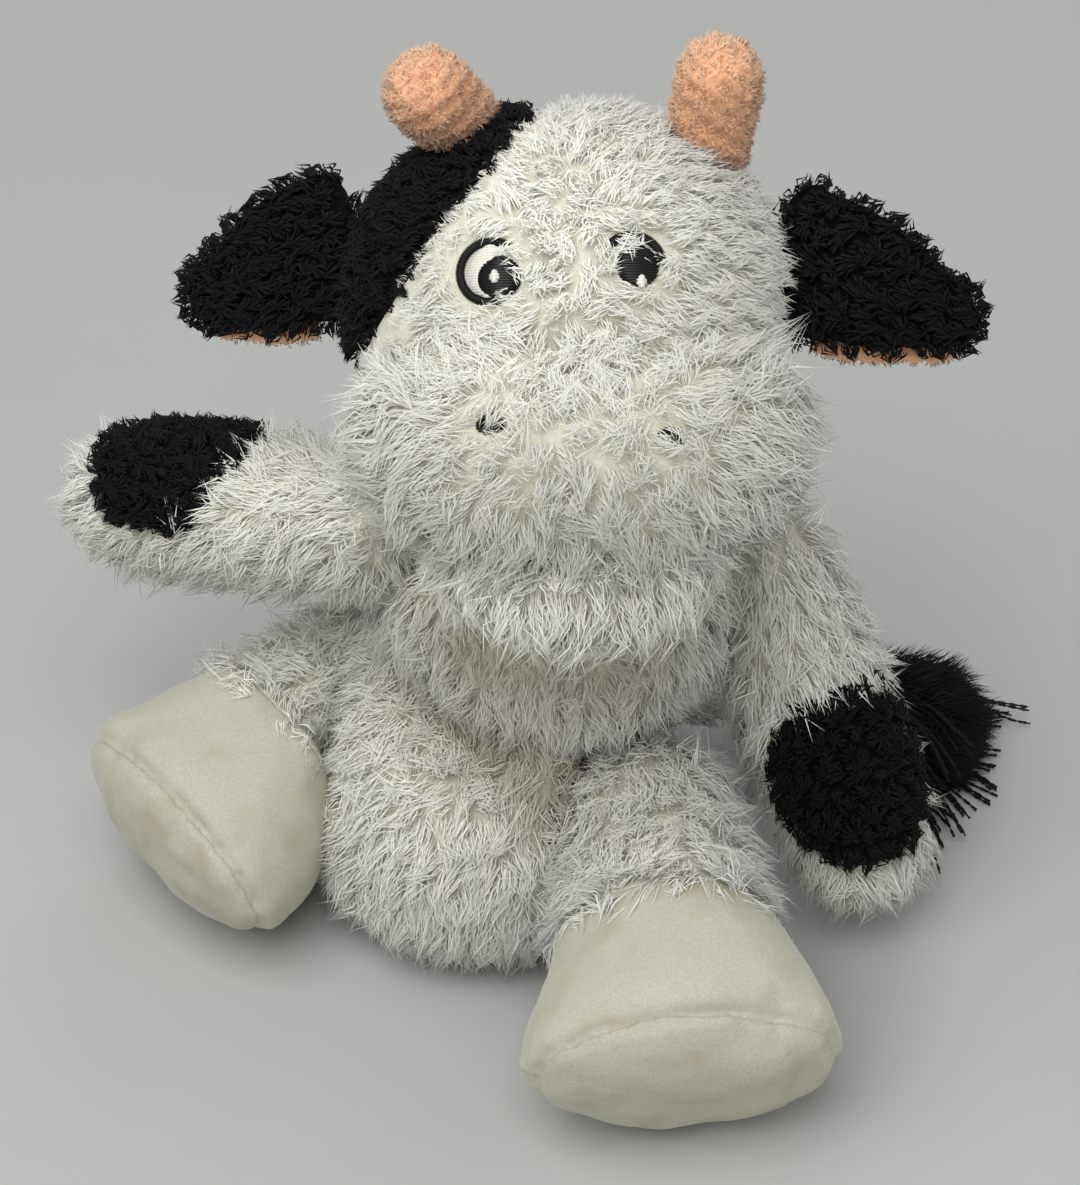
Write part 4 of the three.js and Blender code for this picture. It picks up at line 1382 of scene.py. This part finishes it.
    def build(self) -> None:
        """Makes the head's pieces."""
        nodes = ["head_cover", "head_patch", "head_filling"]
        cheeks = ["muzzle_cover", "muzzle_filling"]
        skin = self.stuffing.skin("head_skin", nodes, sewn_to=[*cheeks, "chin"], keep=self.eye_share)
        muzzle = self.stuffing.skin("muzzle_skin", cheeks, sewn_to=["head_cover", "head_filling"])
        lip = Stuffing(voxel=2 * MM, inset=1.8 * MM).skin(
            "chin_skin", ["chin"], sewn_to=["muzzle_cover", "head_cover"])
        self.embroider(skin, muzzle)
        core = middle("head_filling")
        free = free_share(places(skin.data), [muzzle, lip])
        comb(skin, self.face_flow, free * self.face_length(skin), core)
        comb(muzzle, self.muzzle_flow,
             free_share(places(muzzle.data), [skin, lip]) * self.muzzle_length(muzzle), core)
        rows = places(lip.data)
        hanging = 0.9 + 0.3 * ramp(-(rows[:, 2] - middle("chin").z), -2 * MM, 6 * MM)
        comb(lip, lambda rows, out: self.muzzle_flow(rows, out) + (0.0, -0.9, -0.8),
             free_share(rows, [skin, muzzle]) * hanging, middle("chin") + Vector((0, 12, -12)) * MM)
        normal, offset = flat_plane("head_patch")
        edge = self.patch_shift - offset
        beside = places(skin.data) @ -normal - edge
        share = np.zeros(len(skin.data.vertices))
        skin.data.attributes["pile"].data.foreach_get("value", share)
        share *= self.patch_trim + (1 - self.patch_trim) * ramp(-beside, 0, 7 * MM)
        skin.data.attributes["pile"].data.foreach_set("value", share)
        patch = cut_away(skin, "head_patch_skin", -normal, edge)
        patch.data.attributes["pile"].data.foreach_set("value", np.ones(len(patch.data.vertices)))
        for pile, cloth, name, parts in (
                (FACE_PILE, skin, "head_pile", 2), (DARK_PILE, patch, "head_patch_pile", 1),
                (LONG_PILE, muzzle, "muzzle_pile", 2), (LONG_PILE, lip, "chin_pile", 1),
                (STRAY_PILE, muzzle, "muzzle_tufts", 1), (STRAY_PILE, lip, "chin_tufts", 1)):
            pile.grow(cloth, name, "head", parts)
        for cloth, finish, replaced, fill in (
                (skin, BACKING_CREAM, ["head_cover", "head_filling"], 0.75),
                (patch, BACKING_BLACK, ["head_patch"], 0.75),
                (muzzle, BACKING_CREAM, cheeks, 0.7), (lip, BACKING_CREAM, ["chin"], 0.7)):
            finish_piece(cloth, finish, "head", replaced)
        for side in Side:
            self.horn(side)

    def muzzle_flow(self, rows: np.ndarray, out: np.ndarray) -> np.ndarray:
        """Pile that stands up in the middle of the muzzle and radiates at its edges.

        Args:
            rows: The places.
            out: Their normals; not used.

        Returns:
            A direction for each place.
        """
        parting = np.array(middle("muzzle_cover")) + (0.0, 0.0, 11 * MM)
        away = (rows - parting) * np.array([1.0, 0.3, 1.0])
        far = ramp(np.linalg.norm(away * np.array([0.7, 0.0, 1.2]), axis=1), 6 * MM, 24 * MM)
        return unit(away) * (0.1 + 0.8 * far)[:, None] + np.array([0.0, 0.0, -0.25])

    def embroider(self, skin: Object, muzzle: Object) -> None:
        """Sews the eyes and the nostrils.

        Args:
            skin: The head's skin.
            muzzle: The muzzle's skin.
        """
        for side in Side:
            name = side.value
            eye = self.eye(side, skin)
            eye.oval(THREAD_WHITE, self.ring_inner, 0.2 * MM, thread=0.6 * MM).sew(
                f"{name}_eye_ground", "head")
            eye.ring(THREAD_BLACK, self.ring_inner, self.ring_outer, 0.45 * MM, self.ring_arc[side]).sew(
                f"{name}_eye_ring", "head", [f"{name}_eye_outline"])
            eye.oval(THREAD_BLACK, self.pupil, 0.75 * MM, self.pupil_at[side], 0.75 * MM).sew(
                f"{name}_eye_black", "head", [f"{name}_eye_pupil"])
            eye.oval(THREAD_WHITE, self.light, 1.25 * MM, self.light_at[side], 0.7 * MM).sew(
                f"{name}_eye_light", "head")
            self.nostril(side, muzzle).oval(THREAD_BLACK, self.nostril_size, 0.5 * MM, thread=0.5 * MM).sew(
                f"{name}_nostril_thread", "head", [f"{name}_nostril"])
        middle_at = middle("muzzle_cover")
        mouth = Embroidery(muzzle, middle_at + Vector((-1.0, -12.0, -10.0)) * MM, middle_at)
        mouth.oval(THREAD_BLACK, self.mouth_size, 0.5 * MM).sew("mouth_thread", "head")

    def horn(self, side: Side) -> None:
        """Makes a horn of chenille: soft rows round a stuffed core, with short fuzz.

        Args:
            side: Which horn.
        """
        node = f"{side.value}_horn"
        skin = Stuffing(voxel=1.0 * MM, smoothing=3, cap=0.4 * MM, inset=0.0).skin(
            f"{side.value}_horn_skin", [node])
        rows, out = places(skin.data), outwards(skin.data)
        axis = unit(np.array(middle(node) - middle("head_filling")))
        along = (rows - np.array(middle(node))) @ axis
        ridges = np.cos(math.tau * (along / self.horn_pitch + 0.35 * mottle(rows, 9 * MM, 3.0)))
        raised = self.horn_ridge * ridges + self.horn_bump * mottle(rows, 1.9 * MM, 7.0) - self.horn_sink
        put(skin.data, rows + out * raised[:, None])
        comb(skin, towards(*axis))
        PEACH_FUZZ.grow(skin, f"{side.value}_horn_fuzz", "head")
        finish_piece(skin, CHENILLE_PEACH, "head", [node])


@dataclass
class Ear:
    """A floppy ear: black chenille over a peach lining."""

    side: Side
    root_reach: float = 9 * MM
    root_growth: float = 5 * MM
    lining_drop: float = 3.2 * MM
    lining_size: float = 0.9
    lining_shift: float = 1.5 * MM
    droop: tuple[float, float, float] = (0.0, -0.64, -0.77)

    def stretch(self, skin: Object, axis: np.ndarray) -> None:
        """Draws the ear's root out to where it is sewn into the head.

        Args:
            skin: The cover's skin.
            axis: From the root to the tip.
        """
        rows = places(skin.data)
        along = (rows - np.array(PIVOTS[f"{self.side.value}_ear"])) @ axis
        near = 1 - ramp(along - along.min(), 0, self.root_reach)
        put(skin.data, rows - axis * (near * self.root_growth)[:, None])

    def drop(self, skin: Object, under: np.ndarray, axis: np.ndarray) -> None:
        """Lets the lining peep out along the ear's lower edge only.

        Args:
            skin: The lining's skin.
            under: From the cover to the lining.
            axis: From the root to the tip.
        """
        rows = places(skin.data)
        centre = rows.mean(axis=0)
        down = np.array(self.droop)
        down -= under * (down @ under)
        put(skin.data, centre + (rows - centre) * self.lining_size + unit(down) * self.lining_drop
            + axis * self.lining_shift)

    def build(self) -> None:
        """Makes the ear's cover and lining."""
        name, body = self.side.value, f"{self.side.value}_ear"
        cover, lining = f"{name}_ear_cover", f"{name}_ear_lining"
        axis = axis_of(cover, body)
        under = unit(np.array(middle(lining) - middle(cover)))
        top = Stuffing(voxel=1.2 * MM, smoothing=3, cap=0.5 * MM, inset=0.6 * MM).skin(
            f"{name}_ear_skin", [cover])
        self.stretch(top, axis)
        facing = outwards(top.data) @ under
        comb(top, towards(*axis), 1 - ramp(facing, 0.3, 0.8))
        DARK_PILE.grow(top, f"{name}_ear_pile", body)
        finish_piece(top, BACKING_BLACK, body, [cover])
        back = Stuffing(voxel=1.2 * MM, smoothing=2, cap=0.4 * MM, inset=0.0).skin(
            f"{name}_ear_lining_skin", [lining])
        self.drop(back, under, axis)
        facing = outwards(back.data) @ under
        comb(back, towards(*axis), ramp(facing, -0.4, 0.0))
        PEACH_FUZZ.grow(back, f"{name}_ear_lining_fuzz", body)
        finish_piece(back, CHENILLE_PEACH, body, [lining])


@dataclass
class Arm:
    """An arm in long pile, with a black oval patch near its end."""

    side: Side
    stuffing: Stuffing = Stuffing()
    patch_reach: float = 2.0 * MM
    patch_lift: float = 0.3 * MM
    patch_wall: float = 0.8 * MM
    patch_swell: float = 0.45

    def build(self) -> None:
        """Makes the arm's skin, patch and pile."""
        name, body = self.side.value, f"{self.side.value}_arm"
        nodes = [f"{name}_arm_cover", f"{name}_arm_filling"]
        patch_node = f"{name}_arm_patch"
        axis = axis_of(f"{name}_arm_filling", body)
        skin = self.stuffing.skin(f"{name}_arm_skin", [*nodes, patch_node],
                                  keep=lambda rows: self.patch_swell * self.on_patch(patch_node, rows))
        patch = self.cut_patch(skin, patch_node, f"{name}_arm_patch_skin")
        flow = towards(*(0.7 * axis + np.array([0.0, 0.0, -0.5])))
        comb(skin, flow, 1 - self.on_patch(patch_node, places(skin.data)))
        core = np.array(PIVOTS[body]) + axis * ((places(patch.data) - PIVOTS[body]) @ axis)[:, None]
        outer = np.sum((places(patch.data) - core) * outwards(patch.data), axis=1) > 0
        comb(patch, towards(*(0.3 * axis)), outer.astype(float))
        LONG_PILE.grow(skin, f"{name}_arm_pile", body)
        STRAY_PILE.grow(skin, f"{name}_arm_tufts", body)
        DARK_PILE.grow(patch, f"{name}_arm_patch_pile", body)
        finish_piece(skin, BACKING_CREAM, body, nodes)
        finish_piece(patch, BACKING_BLACK, body, [patch_node])

    def on_patch(self, node: str, rows: np.ndarray) -> np.ndarray:
        """Returns how near each place is to the patch of that CAD node: 1 on it, else 0."""
        return 1 - ramp(distances(surface([node]), rows), self.patch_reach * 0.8, self.patch_reach)

    def cut_patch(self, skin: Object, node: str, name: str) -> Object:
        """Lays a patch of cloth over the arm where the CAD patch is.

        Args:
            skin: The arm's skin.
            node: The patch's CAD node.
            name: The new piece's name.

        Returns:
            The patch, as a closed sheet.
        """
        share = self.on_patch(node, places(skin.data))
        bm = bmesh.new()
        bm.from_mesh(skin.data)
        bm.verts.ensure_lookup_table()
        outside = [face for face in bm.faces if min(share[v.index] for v in face.verts) < 0.5]
        bmesh.ops.delete(bm, geom=outside, context="FACES")
        for vertex in bm.verts:
            vertex.co += vertex.normal * self.patch_lift
        patch = from_bmesh(name, bm)
        return modify(patch, "SOLIDIFY", thickness=self.patch_wall, offset=1.0)


@dataclass
class Leg:
    """A leg: a pile thigh and a velour boot whose sole is sewn on."""

    side: Side
    stuffing: Stuffing = Stuffing(voxel=2.0 * MM, smoothing=14, slack=0.06, cap=3 * MM)
    seam_depth: float = 1.1 * MM
    seam_width: float = 1.2 * MM
    dent: float = 1.3 * MM
    fold: float = 0.35 * MM
    ankle_fade: tuple[float, float] = (-4 * MM, 1 * MM)

    def build(self) -> None:
        """Makes the thigh, the boot's upper and the sole."""
        name, body = self.side.value, f"{self.side.value}_leg"
        inner, offset = flat_plane(f"{name}_foot_sole")
        lean, sole_at = -inner, -offset
        ankle_at = float((places(frame["nodes"][f"{name}_leg_cover"].data) @ lean).max())
        nodes = [f"{name}_{part}" for part in
                 ("leg_cover", "foot_cover", "foot_sole", "leg_filling", "foot_pellets")]

        def booted(rows: np.ndarray) -> np.ndarray:
            """Returns 1 on the boot, which has no pile to leave room for, and 0 on the thigh."""
            return ramp(rows @ lean - ankle_at, *self.ankle_fade) * 0.9

        skin = self.stuffing.skin(f"{name}_thigh_skin", nodes, keep=booted)
        rows, out = places(skin.data), outwards(skin.data)
        level = rows @ lean - sole_at
        pucker = 1 + 0.5 * mottle(rows, 2.5 * MM, 4.0)
        draw = self.seam_depth * np.exp(-(level / self.seam_width) ** 2) * pucker
        dents = self.dent * mottle(rows, 13 * MM, 2.0) + self.fold * mottle(rows, 5 * MM, 6.0)
        dents *= booted(rows)
        put(skin.data, rows - out * (draw + dents)[:, None])
        sole = cut_away(skin, f"{name}_sole_skin", lean, sole_at)
        boot = cut_away(skin, f"{name}_boot_skin", lean, ankle_at)

        rows = places(skin.data)
        flat = np.abs(outwards(skin.data) @ lean) > 0.9
        flow = towards(*(0.7 * lean + np.array([0.0, 0.0, -0.4])))
        comb(skin, flow, np.where(flat & (rows @ lean > ankle_at - 1 * MM), 0.0, 1.0))
        LONG_PILE.grow(skin, f"{name}_thigh_pile", body)
        STRAY_PILE.grow(skin, f"{name}_thigh_tufts", body)
        finish_piece(skin, BACKING_CREAM, body, [nodes[0], nodes[3]])
        finish_piece(boot, VELOUR_CREAM, body, [nodes[1], nodes[4]])
        finish_piece(sole, VELOUR_SOLE, body, [nodes[2]])


@dataclass
class Tail:
    """The tail: a pile stem and a tassel of black yarn."""

    yarns: int = 24
    strands: int = 4
    ply: float = 0.17 * MM
    twist: float = 1300.0
    reach: float = 39 * MM
    spread: float = 0.8
    fray: float = 1.8 * MM
    steps: int = 14

    def build(self) -> None:
        """Makes the stem and the tassel."""
        stem = Stuffing(voxel=1.2 * MM, smoothing=2, cap=0.3 * MM, inset=0.8 * MM).skin(
            "tail_skin", ["tail_stem"])
        flow = towards(*axis_of("tail_tassel", "tail"))
        comb(stem, flow)
        FACE_PILE.grow(stem, "tail_pile", "tail", amount=0.8)
        finish_piece(stem, BACKING_CREAM, "tail", ["tail_stem"])
        core = Stuffing(voxel=1.6 * MM, smoothing=3, cap=0.3 * MM, inset=3.2 * MM).skin(
            "tassel_core", ["tail_tassel"])
        comb(core, flow)
        FLUFF_PILE.grow(core, "tassel_fluff", "tail")
        finish_piece(core, BACKING_BLACK, "tail", ["tail_tassel"])
        self.tassel()

    def tassel(self) -> None:
        """Lays the tassel's yarn, splayed from its knot."""
        low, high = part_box("tail_tassel")
        _, stem_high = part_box("tail_stem")
        end = Vector((stem_high.x - 1.5 * MM, stem_high.y - 5 * MM, (low.z + high.z) / 2))
        course = (middle("tail_tassel") - end).normalized()
        course.z = 0
        side, up = Vector((-course.y, course.x, 0)).normalized(), Vector((0, 0, 1))
        draw = random.Random(41)
        points, edges, thick = [], [], []
        for index in range(self.yarns * self.strands):
            if index % self.strands == 0:
                turn = draw.uniform(0, math.tau)
                tilt = self.spread * math.sqrt(draw.random())
                across = math.cos(turn) * tilt
                rise = math.sin(turn) * tilt * 0.8
                length = self.reach * draw.uniform(0.8, 1.0)
                curl = draw.uniform(-0.65, 0.15)
                wave = draw.uniform(3, 7)
            fray = Vector([draw.uniform(-1, 1) for _ in range(3)]) * self.fray
            first = len(points)
            for step in range(self.steps):
                t = step / (self.steps - 1)
                place = end + course * (length * t * (1 - 0.15 * tilt * t))
                place += side * (length * (across * t ** 1.3 + curl * t * t))
                place += up * (length * (rise * t - 0.4 * t * t))
                place += side * (1.3 * MM * t * math.sin(wave * t + turn))
                place += up * (1.1 * MM * t * math.cos(wave * t + 2 * turn))
                place += fray * (0.15 + t ** 3)
                place.z = max(place.z, self.ply * 2 + 0.2 * MM + 0.4 * MM * draw.random())
                points.append(tuple(place))
                thick.append(1 - 0.35 * (t > 0.9))
                if step:
                    edges.append((first + step - 1, first + step))
        mesh = bpy.data.meshes.new("guides")
        mesh.from_pydata(points, edges, [])
        store(mesh, "thick", np.array(thick))
        guides = new_object("guides", mesh)
        piece = run_tree(guides, yarn_tree(), {
            "Ply": self.ply, "Twist": self.twist, "Finish": YARN_BLACK.material()}, "tassel_yarn")
        bpy.data.objects.remove(guides)
        finish_piece(piece, YARN_BLACK, "tail")


# Studio


@dataclass
class Studio:
    """Floor, lamps and camera."""

    target: Vector = field(default_factory=lambda: Vector((0.7, 19.7, 62)) * MM)
    elevation: float = math.radians(40)
    distance: float = 560 * MM
    focal_pixels: float = 3200
    frame_pixels: float = 1080
    sensor: float = 36.0
    floor_half: float = 1.5
    sky: str = "#eff0ee"
    sky_strength: float = 0.42
    lamps: tuple[tuple, ...] = (("key", (-0.2, -0.34, 0.83), 0.8, 7.4), ("fill", (0.6, -0.4, 0.45), 0.6, 0.7),
                                ("back", (0.1, 0.7, 0.6), 0.5, 1.2))

    def camera(self) -> None:
        """Places the camera at the photograph's angle."""
        data = bpy.data.cameras.new("camera")
        data.sensor_fit = "HORIZONTAL"
        data.sensor_width = self.sensor
        data.lens = self.focal_pixels / self.frame_pixels * self.sensor
        data.clip_start = 0.01
        data.clip_end = 10
        camera = new_object("camera", data)
        back = Vector((0, -math.cos(self.elevation), math.sin(self.elevation)))
        camera.location = self.target + back * self.distance
        camera.rotation_euler = (-back).to_track_quat("-Z", "Y").to_euler()
        bpy.context.scene.camera = camera

    def lamp(self, name: str, place: tuple[float, float, float], size: float, power: float) -> None:
        """Adds a soft lamp that looks at the toy.

        Args:
            name: The lamp's name.
            place: Where it hangs, in metres.
            size: The side of its square.
            power: Its power in watts.
        """
        data = bpy.data.lights.new(name, "AREA")
        data.size = size
        data.energy = power
        lamp = new_object(name, data)
        lamp.location = place
        lamp.rotation_euler = (Vector(place) - self.target).to_track_quat("Z", "Y").to_euler()

    def build(self) -> None:
        """Makes the floor, the world, the lamps and the camera."""
        bm = bmesh.new()
        bmesh.ops.create_grid(bm, x_segments=1, y_segments=1, size=self.floor_half)
        floor = from_bmesh("floor", bm)
        floor.data.materials.append(FLOOR_PALE.material())
        world = bpy.data.worlds.new("studio")
        world.use_nodes = True
        ground = world.node_tree.nodes["Background"]
        ground.inputs["Color"].default_value = linear(self.sky)
        ground.inputs["Strength"].default_value = self.sky_strength
        bpy.context.scene.world = world
        for lamp in self.lamps:
            self.lamp(*lamp)
        bpy.context.scene.view_settings.view_transform = "Standard"
        self.camera()


def main() -> None:
    """Builds the toy's pieces in order."""
    logging.basicConfig(level=logging.INFO, format="%(message)s")
    Studio().build()
    Torso().build()
    Head().build()
    for side in Side:
        Ear(side).build()
        Arm(side).build()
        Leg(side).build()
    Tail().build()


if __name__ == "__main__":
    main()
